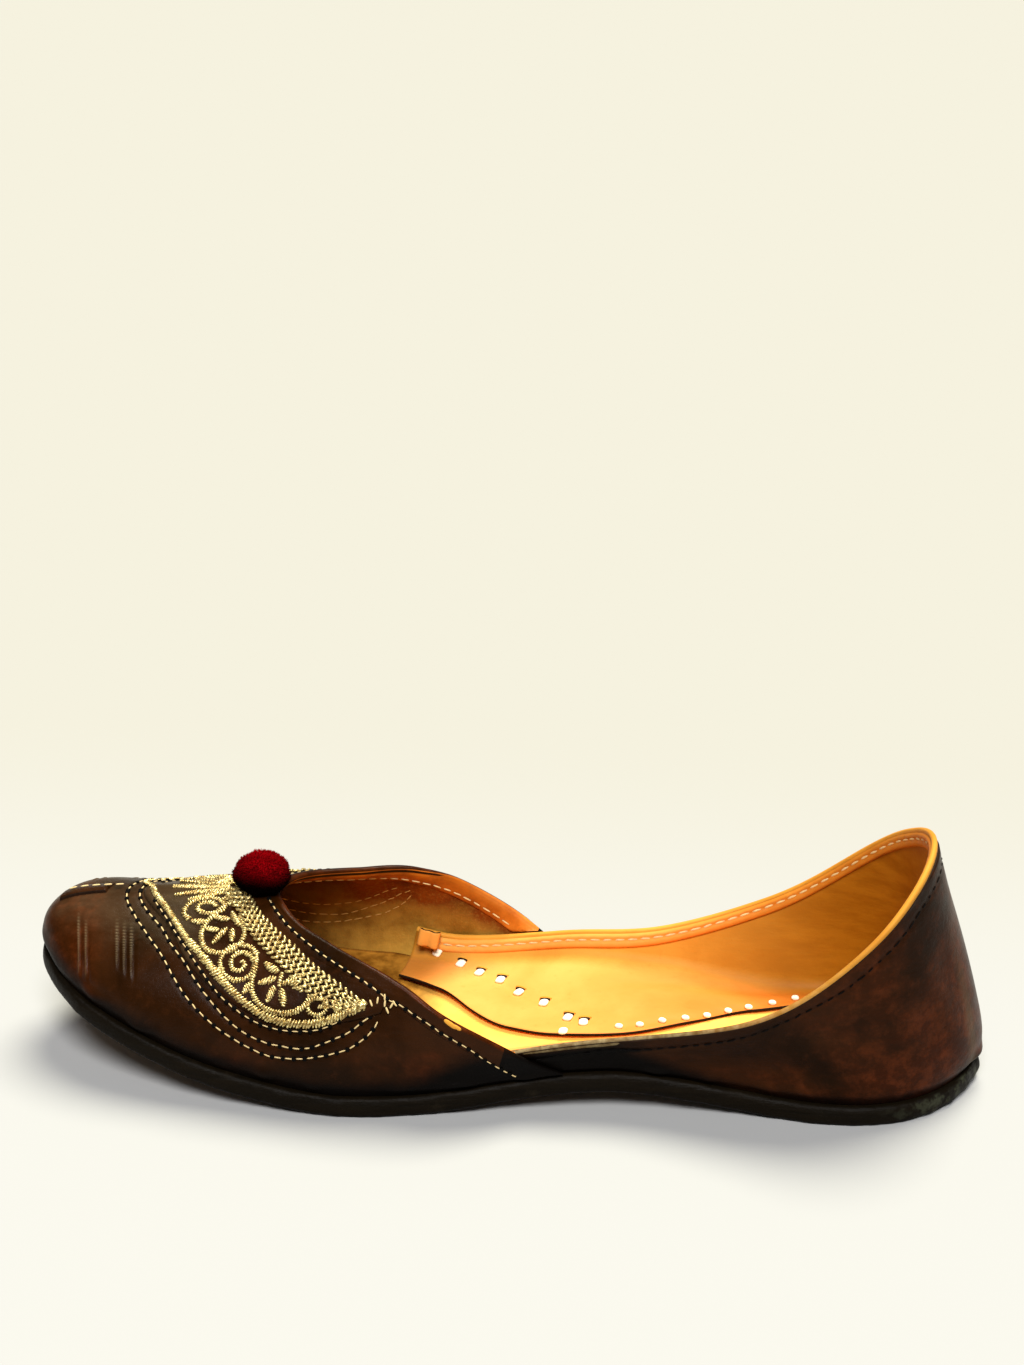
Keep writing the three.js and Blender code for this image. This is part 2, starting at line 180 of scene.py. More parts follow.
def section(station, share):
    """A point of the last's surface: each section is one curve from the feather line to its upper edge."""
    foot_x = column("foot_x", station)
    top_x = column("top_x", station)
    start = np.stack([foot_x, column("foot_y", station), sole_top(foot_x) + FEATHER_GAP], -1)
    end = np.stack([top_x, column("top_y", station), sole_top(top_x) + column("top_z", station)], -1)
    rise = end[..., 2] - start[..., 2]
    lower = start + foot_outward(station) * column("swell", station)[..., None]
    lower[..., 2] += rise * column("wall_rise", station)
    upper = end + (start - end) * column("roof_run", station)[..., None]
    upper[..., 2] = end[..., 2] - rise * column("roof_drop", station)
    t = np.asarray(share, float)[..., None]
    s = 1 - t
    return s ** 3 * start + 3 * s * s * t * lower + 3 * s * t * t * upper + t ** 3 * end


def smoothstep(value, low, high):
    """0 at low, 1 at high and smooth between; low may be the greater."""
    share = np.clip((value - low) / (high - low), 0, 1)
    return share * share * (3 - 2 * share)


def set_back(station):
    return VAMP_LAP * smoothstep(fold(station)[0], LAP_START, LAP_END)


def wall(station, share, depth=0.0):
    """Points of the shoe's wall in the row frame. Depth is how far out of the last's surface they are."""
    station, share, depth = (np.array(part) for part in np.broadcast_arrays(
        np.asarray(station, float), np.asarray(share, float), np.asarray(depth, float)))
    point = section(station, share)
    up = section(station, share + PROBE) - section(station, share - PROBE)
    along = section(station + PROBE, share) - section(station - PROBE, share)
    normal = unit(np.cross(up, along))
    level = foot_outward(station)
    lean = np.clip(share / STRAIGHT_SHARE, 0, 1)[..., None]
    direction = unit(level + (normal - level) * lean)
    moved = point + direction * (depth - set_back(station))[..., None]
    foot_x = column("foot_x", station)
    shift = sole_top(foot_x + moved[..., 0] - point[..., 0]) - sole_top(foot_x)
    moved[..., 2] += shift * np.maximum(0, 1 - share) ** 3
    moved[..., 0] += HEEL_BACK
    return moved


def floor_point(station, inset, height):
    """Points over the sole, a distance in from the feather line and a height over its top face."""
    station, inset, height = (np.array(part) for part in np.broadcast_arrays(
        np.asarray(station, float), np.asarray(inset, float), np.asarray(height, float)))
    foot = np.stack([column("foot_x", station), column("foot_y", station), np.zeros_like(station)], -1)
    foot -= foot_outward(station) * inset[..., None]
    foot[..., 2] = sole_top(foot[..., 0]) + height
    foot[..., 0] += HEEL_BACK
    return foot


def share_of(length, station):
    """How much of a section's height a length takes."""
    shares = np.linspace(0, 1, 25)
    points = section(np.asarray(station, float)[..., None], shares)
    return length / np.linalg.norm(np.diff(points, axis=-2), axis=-1).sum(-1)


def waviness(points, size, seed):
    """A slow random swell between -1 and 1, made of a few crossed waves, the same on every run."""
    picker = np.random.default_rng(seed)
    total = np.zeros(points.shape[:-1])
    waves = 7
    for _ in range(waves):
        direction = unit(picker.normal(size=3))
        length = size * picker.uniform(0.6, 1.7)
        total += np.sin(points @ direction * (2 * np.pi / length) + picker.uniform(0, 2 * np.pi))
    return total / math.sqrt(waves * 2)


# Finishes. Arithmetic on a Shade adds Math nodes; colours go through blend.
class Shade:
    def __init__(self, finish, socket):
        self.finish = finish
        self.socket = socket

    def math(self, operation, *values):
        return self.finish.node("ShaderNodeMath", {"operation": operation}, dict(enumerate(values)))

    def __add__(self, other):
        return self.math("ADD", self, other)

    def __sub__(self, other):
        return self.math("SUBTRACT", self, other)

    def __rsub__(self, other):
        return self.math("SUBTRACT", other, self)

    def __mul__(self, other):
        return self.math("MULTIPLY", self, other)

    def __truediv__(self, other):
        return self.math("DIVIDE", self, other)

    def __pow__(self, other):
        return self.math("POWER", self, other)

    __radd__ = __add__
    __rmul__ = __mul__


class Finish:
    """A material made of nodes, with one method for each thing that the finishes share."""

    def __init__(self, name):
        self.material = bpy.data.materials.new(name)
        self.material.use_nodes = True
        self.tree = self.material.node_tree
        self.tree.nodes.clear()

    def node(self, kind, settings=None, inputs=None, output=0):
        node = self.tree.nodes.new(kind)
        for key, value in (settings or {}).items():
            if key == "stops":
                while len(node.color_ramp.elements) < len(value):
                    node.color_ramp.elements.new(0.5)
                for element, (position, color) in zip(node.color_ramp.elements, value):
                    element.position = position
                    element.color = color
            else:
                setattr(node, key, value)
        for key, value in (inputs or {}).items():
            if isinstance(value, Shade):
                self.tree.links.new(value.socket, node.inputs[key])
            else:
                node.inputs[key].default_value = value
        return Shade(self, node.outputs[output])

    def place(self, stretch=(1, 1, 1), turn=(0, 0, 0)):
        where = self.node("ShaderNodeTexCoord", output="Object")
        return self.node("ShaderNodeMapping", {}, {"Vector": where, "Scale": stretch, "Rotation": turn})

    def noise(self, size, detail=3, roughness=0.55, place=None, distortion=0):
        """Noise whose patches are about as wide as size, in metres."""
        return self.node("ShaderNodeTexNoise", {}, {
            "Vector": place or self.place(), "Scale": 1 / size, "Detail": detail,
            "Roughness": roughness, "Distortion": distortion})

    def cells(self, size, place=None, feature="F1"):
        return self.node("ShaderNodeTexVoronoi", {"feature": feature}, {
            "Vector": place or self.place(), "Scale": 1 / size})

    def mark(self, name):
        return self.node("ShaderNodeAttribute", {"attribute_name": name}, output="Fac")

    def ramp(self, value, low, high):
        """0 below low, 1 above high and smooth between them."""
        return self.node("ShaderNodeMapRange", {"interpolation_type": "SMOOTHSTEP"}, {
            "Value": value, "From Min": low, "From Max": high})

    def blend(self, share, first, second, way="MIX"):
        return self.node("ShaderNodeMix", {"data_type": "RGBA", "blend_type": way}, {
            0: share, 6: first, 7: second}, output=2)

    def bump(self, height, depth, under=None, strength=1):
        inputs = {"Height": height, "Distance": depth, "Strength": strength}
        if under is not None:
            inputs["Normal"] = under
        return self.node("ShaderNodeBump", {}, inputs)

    def surface(self, **inputs):
        names = {"color": "Base Color", "roughness": "Roughness", "metallic": "Metallic", "normal": "Normal",
                 "coat": "Coat Weight", "coat_roughness": "Coat Roughness", "specular": "Specular IOR Level",
                 "sheen": "Sheen Weight", "sheen_roughness": "Sheen Roughness", "sheen_tint": "Sheen Tint"}
        shader = self.node("ShaderNodeBsdfPrincipled", {}, {names[key]: value for key, value in inputs.items()})
        self.node_to_output(shader)
        return self.material

    def node_to_output(self, shader):
        output = self.tree.nodes.new("ShaderNodeOutputMaterial")
        self.tree.links.new(shader.socket, output.inputs["Surface"])


def tone(red, green, blue):
    """A paint tone given as a screen colour from 0 to 255, as linear light."""
    linear = [((c / 255 + 0.055) / 1.055) ** 2.4 if c > 10 else c / 255 / 12.92 for c in (red, green, blue)]
    return (*linear, 1)


def patina_leather():
    """Polished dark brown leather: reddish where its polish has worn, painted shade that turns it black low down and in
    the collar seam, and a painted grey-brown sheen where light would catch it.
    """
    f = Finish("patina_leather")
    drift = f.noise(34 * MM, 4, 0.6, distortion=0.7)
    streaks = f.noise(8 * MM, 6, 0.68, f.place((0.5, 1, 1.7), (0.3, 0, 0.2)))
    blots = f.noise(4.5 * MM, 6, 0.7)
    red = f.ramp(f.mark("red") + (drift - 0.5) * 1.1 + (streaks - 0.5) * 0.6, 0.3, 0.95)
    # The dark mark is painted shade: it blends the leather to near black, tone(4, 2, 1).
    dark = f.ramp(f.mark("dark") + (streaks - 0.5) * 0.5, 0.2, 0.9)
    # Painted sheen: this mark blends in a grey-brown highlight, tone(108, 92, 66).
    haze = f.ramp(f.mark("haze") + (streaks - 0.5) * 0.4, 0.1, 1.1)
    base = f.blend(f.ramp(drift, 0.35, 0.68), tone(24, 9, 0), tone(46, 22, 5))
    base = f.blend(f.ramp(blots, 0.52, 0.72) * 0.4, base, tone(58, 28, 8))
    worn = f.blend(f.ramp(blots, 0.4, 0.65), tone(48, 16, 0), tone(76, 32, 8))
    color = f.blend(dark, f.blend(red, base, worn), tone(4, 2, 1))
    color = f.blend(haze, color, tone(108, 92, 66))
    pores = f.cells(0.5 * MM)
    grain = f.noise(1.5 * MM, 4, 0.6)
    scuffs = f.ramp(f.noise(3 * MM, 7, 0.78, f.place((0.3, 1, 1.4), (0.2, 0.1, 0.5))), 0.63, 0.74)
    flecks = f.ramp(f.noise(0.9 * MM, 3, 0.6), 0.74, 0.8)
    color = f.blend((scuffs * 0.14 + flecks * 0.16) * (1 - dark), color, tone(104, 72, 44))
    normal = f.bump(f.ramp(pores, 0.05, 0.4), 0.02 * MM)
    normal = f.bump(grain, 0.07 * MM, normal)
    normal = f.bump(streaks, 0.25 * MM, normal)
    roughness = 0.32 + (streaks - 0.5) * 0.3 + scuffs * 0.2 + dark * 0.2
    return f.surface(color=color, roughness=roughness, normal=normal, specular=0.06)


# Near-black cut leather edges. On the dark leathers that is the edges' own colour; on the tan lining's, flap's and
# tab's edges it is painted shade along the edge.
def cut_edge():
    f = Finish("cut_leather_edge")
    fibre = f.noise(0.7 * MM, 4)
    color = f.blend(fibre, tone(14, 7, 3), tone(46, 26, 12))
    return f.surface(color=color, roughness=0.7, normal=f.bump(fibre, 0.15 * MM), specular=0.1)


def tan_lining():
    """Vegetable-tanned lining with light and shade painted in: a paler copy of the tan on the flap, which faces up to
    the light, golden on the wall, a darker copy at the flap's rear and browner painted shade in the heel, and grey
    where it is worn.
    """
    f = Finish("tan_lining")
    cloud = f.ramp(f.noise(26 * MM, 4, 0.55, distortion=0.4), 0.3, 0.7)
    speck = f.noise(2.2 * MM, 5, 0.6)
    streak = f.ramp(f.noise(7 * MM, 5, 0.65, f.place((0.35, 1, 1.5))), 0.35, 0.7)
    # The wall and the flap are copies of one tan: the flap's paler copy is painted light where it faces up to the
    # lamps, and its rear copy is darker, as painted shade towards the heel.
    on_wall = f.blend(cloud, tone(206, 136, 42), tone(220, 154, 56))
    front_flap = f.blend(cloud, tone(236, 144, 64), tone(246, 160, 80))
    rear_flap = f.blend(cloud, tone(224, 116, 36), tone(236, 130, 48))
    on_flap = f.blend(forward(f, -0.06, -0.008), rear_flap, front_flap)
    color = f.blend(f.mark("flap"), on_wall, on_flap)
    color = f.blend(f.ramp(speck, 0.55, 0.8) * 0.25, color, tone(186, 108, 26))
    # Painted shade: a browner tan where the mark puts it, in the heel and at the far wing's front.
    color = f.blend(f.mark("soil"), color, f.blend(streak, tone(132, 76, 2), tone(150, 92, 10)))
    grey = f.blend(f.ramp(speck, 0.3, 0.7), tone(48, 42, 26), tone(120, 112, 84))
    color = f.blend(f.mark("worn") * 0.9, color, grey)
    normal = f.bump(f.noise(1.1 * MM, 4), 0.05 * MM)
    normal = f.bump(streak, 0.05 * MM, normal)
    return f.surface(color=color, roughness=0.55, normal=normal, specular=0.12)


def forward(f, rear, front):
    """0 behind one place along the shoe and 1 ahead of another."""
    where = f.node("ShaderNodeTexCoord", output="Object")
    along = f.node("ShaderNodeSeparateXYZ", {}, {"Vector": where})
    return f.ramp(along, rear, front)


def flesh_side():
    """The raw inner face of the vamp: orange brown by the throat, olive and suede-like lower down, with painted shade
    darkening it towards the toe.
    """
    f = Finish("flesh_side")
    nap = f.noise(0.9 * MM, 5, 0.7)
    cloud = f.ramp(f.noise(12 * MM, 5), 0.3, 0.7)
    low = f.blend(cloud, tone(128, 84, 20), tone(196, 146, 58))
    high = f.blend(cloud, tone(70, 22, 0), tone(124, 58, 4))
    color = f.blend(f.ramp(f.mark("height") + (cloud - 0.5) * 0.4, 0.3, 0.75), low, high)
    color = f.blend(f.ramp(nap, 0.45, 0.8) * 0.35, color, tone(170, 126, 54))
    # Painted shade: darker towards the toe, deep inside the toe box.
    color = f.blend(forward(f, 0.03, 0.075) * 0.75, color, tone(36, 10, 0))
    return f.surface(color=color, roughness=0.9, normal=f.bump(nap, 0.2 * MM), specular=0.1)


def sock_leather():
    """The insole's leather: bright tan under the waist, trodden and grey beige under the ball."""
    f = Finish("sock_leather")
    clean = f.blend(f.ramp(f.noise(20 * MM, 4), 0.3, 0.7), tone(240, 172, 70), tone(250, 188, 86))
    trodden = f.blend(f.ramp(f.noise(7 * MM, 5), 0.35, 0.65), tone(104, 62, 6), tone(166, 112, 36))
    color = f.blend(f.mark("forward"), clean, trodden)
    normal = f.bump(f.noise(1.3 * MM, 5), 0.1 * MM)
    return f.surface(color=color, roughness=0.62, normal=normal, specular=0.12)


def facing_leather():
    f = Finish("facing_leather")
    cloud = f.ramp(f.noise(9 * MM, 4), 0.3, 0.7)
    behind = f.blend(cloud, tone(204, 108, 20), tone(236, 148, 52))
    ahead = f.blend(cloud, tone(116, 50, 0), tone(170, 88, 12))
    color = f.blend(forward(f, -0.012, 0.02), behind, ahead)
    return f.surface(color=color, roughness=0.5, normal=f.bump(f.noise(1.2 * MM, 4), 0.06 * MM), specular=0.15)


def sole_leather():
    """Thick sole leather: a burnished black edge with layers, scuffed, and brown and worn underneath."""
    f = Finish("sole_leather")
    layers = f.noise(1.4 * MM, 4, 0.6, f.place((0.12, 0.12, 1)))
    dust = f.noise(11 * MM, 6, 0.7)
    base = f.blend(layers, tone(4, 3, 1), tone(22, 15, 6))
    base = f.blend(f.ramp(dust, 0.58, 0.75) * 0.35, base, tone(44, 36, 24))
    base = f.blend(f.mark("dusty") * f.ramp(f.noise(2.6 * MM, 5), 0.45, 0.65) * 0.5, base, tone(70, 72, 56))
    under = f.blend(f.ramp(dust, 0.3, 0.7), tone(96, 70, 44), tone(142, 110, 74))
    under = f.blend(f.ramp(f.noise(5 * MM, 7, 0.75), 0.55, 0.7) * 0.6, under, tone(58, 42, 28))
    color = f.blend(f.mark("under"), base, under)
    rough = 0.5 + (dust - 0.5) * 0.4
    normal = f.bump(layers, 0.3 * MM, f.bump(f.noise(2.4 * MM, 5, 0.7), 0.3 * MM))
    return f.surface(color=color, roughness=rough, normal=normal, specular=0.06)


def gold_thread():
    """Metal-wrapped thread: pale gold, tarnished brown in patches."""
    f = Finish("gold_thread")
    glint = f.noise(0.6 * MM, 3, 0.7)
    patch = f.noise(5 * MM, 3)
    color = f.blend(f.ramp(glint, 0.35, 0.65), tone(122, 86, 24), tone(255, 236, 164))
    color = f.blend(f.ramp(patch, 0.45, 0.7) * 0.5, color, tone(136, 96, 40))
    normal = f.bump(f.noise(0.22 * MM, 2), 0.05 * MM)
    return f.surface(color=color, metallic=0.7, roughness=0.3, normal=normal)


def plain_thread(name, light, shadow, size=0.35 * MM):
    f = Finish(name)
    ply = f.noise(size, 3, 0.6)
    color = f.blend(ply, shadow, light)
    return f.surface(color=color, roughness=0.7, normal=f.bump(ply, 0.08 * MM), specular=0.2)


# Black beads that stand for the shade inside needle holes: painted shade.
def painted_hole_shade():
    f = Finish("painted_hole_shade")
    color = f.blend(f.noise(0.4 * MM), tone(1, 0, 0), tone(5, 3, 2))
    return f.surface(color=color, roughness=0.9, specular=0.1)


def crimson_wool(low, high):
    """Cut wool, bright crimson on top and, as painted shade, nearly black under the ball, between two heights."""
    f = Finish("crimson_wool")
    fibre = f.noise(0.7 * MM, 4, 0.7)
    patch = f.noise(3 * MM, 4)
    color = f.blend(f.ramp(fibre, 0.3, 0.7), tone(96, 0, 3), tone(152, 0, 8))
    color = f.blend(f.ramp(patch, 0.45, 0.7) * 0.6, color, tone(70, 0, 3))
    where = f.node("ShaderNodeTexCoord", output="Object")
    height = f.node("ShaderNodeSeparateXYZ", {}, {"Vector": where}, output=2)
    # Painted shade: nearly black low on the ball.
    color = f.blend(f.ramp(height, low, high), tone(4, 0, 0), color)
    return f.surface(color=color, roughness=0.95, normal=f.bump(fibre, 0.12 * MM), specular=0.02)


POMPOM_LOW, POMPOM_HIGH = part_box("pompom")
PATINA = patina_leather()
CUT_EDGE = cut_edge()
LINING = tan_lining()
FLESH = flesh_side()
SOCK = sock_leather()
FACING = facing_leather()
SOLE = sole_leather()
GOLD = gold_thread()
CREAM_THREAD = plain_thread("cream_thread", tone(240, 216, 160), tone(176, 144, 88))
TAN_THREAD = plain_thread("tan_thread", tone(226, 176, 96), tone(150, 98, 40))
WHITE_THREAD = plain_thread("white_hand_thread", tone(255, 253, 240), tone(250, 236, 200), 0.6 * MM)
PAINTED_HOLE_SHADE = painted_hole_shade()
WOOL = crimson_wool(POMPOM_LOW.z + 2.4 * MM, POMPOM_LOW.z + 11.4 * MM)


# Making pieces.
def finish_piece(name, bm, materials, replaced=()):
    mesh = bpy.data.meshes.new(name)
    bm.to_mesh(mesh)
    bm.free()
    for material in materials:
        mesh.materials.append(material)
    mesh.shade_smooth()
    piece = bpy.data.objects.new(name, mesh)
    bpy.context.scene.collection.objects.link(piece)
    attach(piece, "root")
    for node in replaced:
        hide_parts(node)
    return piece


def lay(points, marks=None, zones=None, joined=False, turned=False):
    """A sheet of leather through points[up][along]. Marks are values kept on it for its finish, and zones
    give each strip between two rows its material."""
    rows, across = points.shape[:2]
    bm = bmesh.new()
    bmesh.ops.create_grid(bm, x_segments=across - 1, y_segments=rows - 1, size=0.5)
    bm.verts.ensure_lookup_table()
    layers = {name: bm.verts.layers.float.new(name) for name in (marks or {})}
    flat = points.reshape(-1, 3).tolist()
    values = {name: np.broadcast_to(marks[name], (rows, across)).ravel().tolist() for name in layers}
    for i, vert in enumerate(bm.verts):
        vert.co = flat[i]
        for name, layer in layers.items():
            vert[layer] = values[name][i]
    if zones is not None:
        for i, face in enumerate(bm.faces):
            face.material_index = int(zones[min(i // (across - 1), len(zones) - 1)])
    if turned:
        bmesh.ops.reverse_faces(bm, faces=bm.faces)
    if joined:
        bmesh.ops.remove_doubles(bm, verts=bm.verts, dist=0.01 * MM)
    return bm


def even(start, end, count):
    return np.linspace(start, end, count + 1)


def between_rows(low, high, count):
    """Rows spread evenly between two lines of shares."""
    return [low + (high - low) * share for share in even(0, 1, count)]


def solidify(piece, thickness, offset=-1, rim=0):
    """Gives a sheet its thickness, on the side that its faces turn away from. Its rim's material is rim places on."""
    modifier = piece.modifiers.new("thickness", "SOLIDIFY")
    modifier.thickness = thickness
    modifier.offset = offset
    modifier.use_rim = True
    modifier.material_offset_rim = rim
    return piece


def coordinates(mesh):
    co = np.zeros(len(mesh.vertices) * 3)
    mesh.vertices.foreach_get("co", co)
    return co.reshape(-1, 3)


def repeat(template, places):
    """A bmesh with one copy of the template mesh at each place, a 4 by 4 array."""
    rest = coordinates(template)
    bm = bmesh.new()
    for place in places:
        template.vertices.foreach_set("co", (rest @ place[:3, :3].T + place[:3, 3]).ravel())
        bm.from_mesh(template)
    template.vertices.foreach_set("co", rest.ravel())
    return bm


def bead_template(name, around, along, fullness):
    """A closed bead of unit half length along X. Less than 1, fullness squares off its ends."""
    bm = bmesh.new()
    bmesh.ops.create_uvsphere(bm, u_segments=around, v_segments=along, radius=1)
    bmesh.ops.rotate(bm, verts=bm.verts, cent=(0, 0, 0), matrix=Matrix.Rotation(math.pi / 2, 3, "Y"))
    for vert in bm.verts:
        vert.co.x = math.copysign(abs(vert.co.x) ** fullness, vert.co.x)
    mesh = bpy.data.meshes.new(name)
    bm.to_mesh(mesh)
    bm.free()
    return mesh


STITCH = bead_template("stitch_template", 6, 5, 0.6)
STITCH_FINE = bead_template("fine_stitch_template", 12, 9, 0.6)
HAND_STITCH = bead_template("hand_stitch_template", 12, 9, 0.35)
HOLE = bead_template("hole_template", 8, 5, 0.55)


# Lines on the shoe. A place is (station, share); a line is a few places that a smooth curve runs through.
def far(places):
    """The same places on the shoe's right side."""
    return [(AROUND - station, share) for station, share in places]


def trace(places, per_place=16):
    """Closely spaced places along the smooth curve through a line's places."""
    known = np.array(places, float)
    padded = np.concatenate([[2 * known[0] - known[1]], known, [2 * known[-1] - known[-2]]])
    pieces = []
    for i in range(len(known) - 1):
        before, start, end, after = padded[i:i + 4]
        t = np.arange(per_place)[:, None] / per_place
        slope_in = (end - before) / 2
        slope_out = (after - start) / 2
        rise = end - start
        pieces.append(start + t * (slope_in + t * (3 * rise - 2 * slope_in - slope_out
                                                   + t * (slope_in + slope_out - 2 * rise))))
    return np.concatenate(pieces + [known[-1:]])


def spots(places, surface):
    """Separate places on a surface: the points, the direction to the toe's end of it and the outward direction."""
    station, share = np.array(places, float).T
    east = surface(station + PROBE, share) - surface(station - PROBE, share)
    north = surface(station, share + PROBE) - surface(station, share - PROBE)
    return surface(station, share), unit(east), unit(np.cross(north, east))


def pace(places, step, surface, phase=0.5):
    """Even steps along a line on a surface: the points, the line's direction and the outward direction."""
    line = trace(places)
    points = surface(line[:, 0], line[:, 1])
    reach = np.concatenate([[0], np.cumsum(np.linalg.norm(np.diff(points, axis=0), axis=1))])
    count = max(1, round(reach[-1] / step))
    at = (np.arange(count) + phase) / count * reach[-1]
    station, share = (np.interp(at, reach, line[:, k]) for k in (0, 1))
    ahead, behind = (
        surface(np.interp(at + s, reach, line[:, 0]), np.interp(at + s, reach, line[:, 1]))
        for s in (0.3 * MM, -0.3 * MM))
    here, _, out = spots(np.stack([station, share], -1), surface)
    return here, unit(ahead - behind), out


def stand(steps, half_length, half_width, half_height, turn=0.0, lift=0.0, aside=0.0):
    """Places for beads on paced steps. Turn swings their length round the outward direction."""
    here, along, out = steps
    side = unit(np.cross(out, along))
    along = np.cross(side, out)
    turn, half_length, half_width, half_height, lift, aside = (
        np.broadcast_to(np.asarray(value, float), len(here))[:, None]
        for value in (turn, half_length, half_width, half_height, lift, aside))
    places = np.zeros((len(here), 4, 4))
    places[:, :3, 0] = (along * np.cos(turn) + side * np.sin(turn)) * half_length
    places[:, :3, 1] = (side * np.cos(turn) - along * np.sin(turn)) * half_width
    places[:, :3, 2] = out * half_height
    places[:, :3, 3] = here + out * lift + side * aside
    places[:, 3, 3] = 1
    return places


def shaky(count, amount, seed):
    """Small differences between stitches that are made by hand."""
    return np.random.default_rng(seed).normal(size=count) * amount


HOLE_HALF_WIDTH = 0.68 * MM


def running_stitches(lines, step, length, width, surface, sunk, aside=0.0):
    """Beads for a row of stitches along each line, and beads for the painted shade of the needle holes between them."""
    threads = []
    holes = []
    for seed, places in enumerate(lines):
        steps = pace(places, step, surface)
        count = len(steps[0])
        threads.append(stand(steps, length / 2 + shaky(count, 0.09 * MM, seed), width / 2, width * 0.42,
                             shaky(count, 0.05, seed + 50), width * 0.2 - sunk, aside))
        steps = pace(places, step, surface, phase=0)
        count = len(steps[0])
        holes.append(stand(steps, (step - length) * 0.52, HOLE_HALF_WIDTH, 0.24 * MM,
                           shaky(count, 0.25, seed + 90), 0.26 * MM - sunk, aside))
    return np.concatenate(threads), np.concatenate(holes)


def beside(place, along, up):
    """The places a short way from one place: along the shoe towards the toe, and up the wall."""
    station, share = place
    east = (wall(station + PROBE, share) - wall(station - PROBE, share)) / (2 * PROBE)
    north = (wall(station, share + PROBE) - wall(station, share - PROBE)) / (2 * PROBE)
    level = unit(east)
    rising = unit(north - level * (north @ level))
    share_move = np.asarray(up, float) / (north @ rising)
    station_move = (np.asarray(along, float) - share_move * (north @ level)) / np.linalg.norm(east)
    return np.stack(np.broadcast_arrays(station + station_move, share + share_move), -1)


# Sizes of the upper's leathers. Depths count from the last's surface.
VAMP_FACE = VAMP_LAP
VAMP_LEATHER = 1.5 * MM
PANEL_RISE = 1.0 * MM
QUARTER_FRONT = 6.6
VAMP_REAR = 4.62
PANEL_TIP = 6.85
BAND_REAR = 5 + 1 / 3
FACING_REAR = 5.2
LEAST_VAMP = 0.04
BAND_WIDTH = 6.5 * MM
INSOLE_THICKNESS = 1.3 * MM
FLANGE_TOP = 3.1 * MM
QUARTER_THICKNESS = 1.8 * MM
LINING_THICKNESS = 0.8 * MM
FURROW_DEPTH = 0.16 * MM
FURROW_WIDTH = 0.8 * MM
HEM_SHARE = 0.07
HEM_TUCK = 0.7 * MM

OUTER_STITCHES = [(10.97, 0.635), (10.43, 0.617), (9.91, 0.582), (9.59, 0.534), (9.3, 0.462), (9.04, 0.391),
                  (8.6, 0.289), (8.35, 0.243), (8.13, 0.213), (7.89, 0.199), (7.5, 0.239), (7.12, 0.332),
                  (6.97, 0.411), (6.87, 0.511), (6.83, 0.62)]
INNER_STITCHES = [(10.97, 0.675), (10.37, 0.664), (10.08, 0.654), (9.74, 0.617), (9.43, 0.572), (9.13, 0.504),
                  (8.86, 0.442), (8.59, 0.375), (8.34, 0.316), (8.09, 0.283), (7.8, 0.283), (7.5, 0.312),
                  (7.18, 0.438), (7.06, 0.521), (6.97, 0.607), (6.86, 0.68)]
GUARD_STITCHES = [(10.64, 0.707), (10.29, 0.697), (9.91, 0.671), (9.56, 0.631), (9.26, 0.578), (8.99, 0.525),
                  (8.69, 0.465), (8.36, 0.411), (8.12, 0.386), (7.88, 0.388), (7.66, 0.409), (7.46, 0.449),
                  (7.31, 0.516), (7.18, 0.612), (7.06, 0.685)]
BAND_STITCHES = [(10.36, 0.972), (9.73, 0.967), (9.32, 0.96), (8.66, 0.943), (8.17, 0.918), (7.78, 0.893),
                 (7.4, 0.856), (7.15, 0.833), (6.85, 0.8), (6.65, 0.818), (6.44, 0.828), (6.16, 0.82),
                 (5.94, 0.748), (5.78, 0.665), (5.66, 0.588), (5.53, 0.476), (5.33, 0.303), (5.1, 0.1)]
COLLAR_STITCHES = [(5.1, 0.28), (4.85, 0.31), (4, 0.45), (3.25, 0.6), (2.7, 0.75), (2.23, 0.8), (1.85, 0.85),
                   (1.16, 0.89), (0.77, 0.9), (0, 0.91)]
BORDER = [(10.97, 0.715), (10.49, 0.722), (10.1, 0.705), (9.75, 0.678), (9.45, 0.647), (9.2, 0.611),
          (8.95, 0.571), (8.68, 0.526), (8.39, 0.478), (8.15, 0.445), (7.89, 0.439), (7.66, 0.458),
          (7.5, 0.492), (7.35, 0.544), (7.2, 0.62), (7.06, 0.69)]

# Creases and folds in the leather: two ends as places, and how deep and wide the trough is in millimetres.
VAMP_CREASES = [((6.9, 0.3), (5.6, 0.12), 0.35, 4), ((6.2, 0.55), (5.2, 0.1), 0.3, 5), ((7.6, 0.12), (6.4, 0.06), 0.3, 3),
                ((8.9, 0.2), (8.2, 0.1), 0.25, 3), ((10.4, 0.35), (9.9, 0.12), 0.3, 4)]
QUARTER_CREASES = [((4.3, 0.6), (3.9, 0.1), 0.5, 6), ((3.3, 0.5), (2.7, 0.1), 0.45, 7), ((2.2, 0.6), (1.7, 0.15), 0.4, 6),
                   ((1.3, 0.5), (0.8, 0.12), 0.4, 5), ((2.9, 0.25), (1.6, 0.12), 0.4, 4), ((0.9, 0.75), (0.4, 0.3), 0.35, 5)]
CREASE_SPREAD = MM


def vamp_share(station):
    return np.maximum(LEAST_VAMP, column("vamp", station))


def collar_share(station):
    return column("collar", station)


def band_low(station):
    top = vamp_share(station)
    return np.maximum(top / 2, top - share_of(BAND_WIDTH, station))


def band_rise(station):
    return (0.2 + 0.65 * smoothstep(fold(station)[0], 5.6, 7.2)) * MM


# Surfaces, each a function of station and share: the leathers' faces before seams are pressed into them.
TOE_BULGE = 2.1 * MM


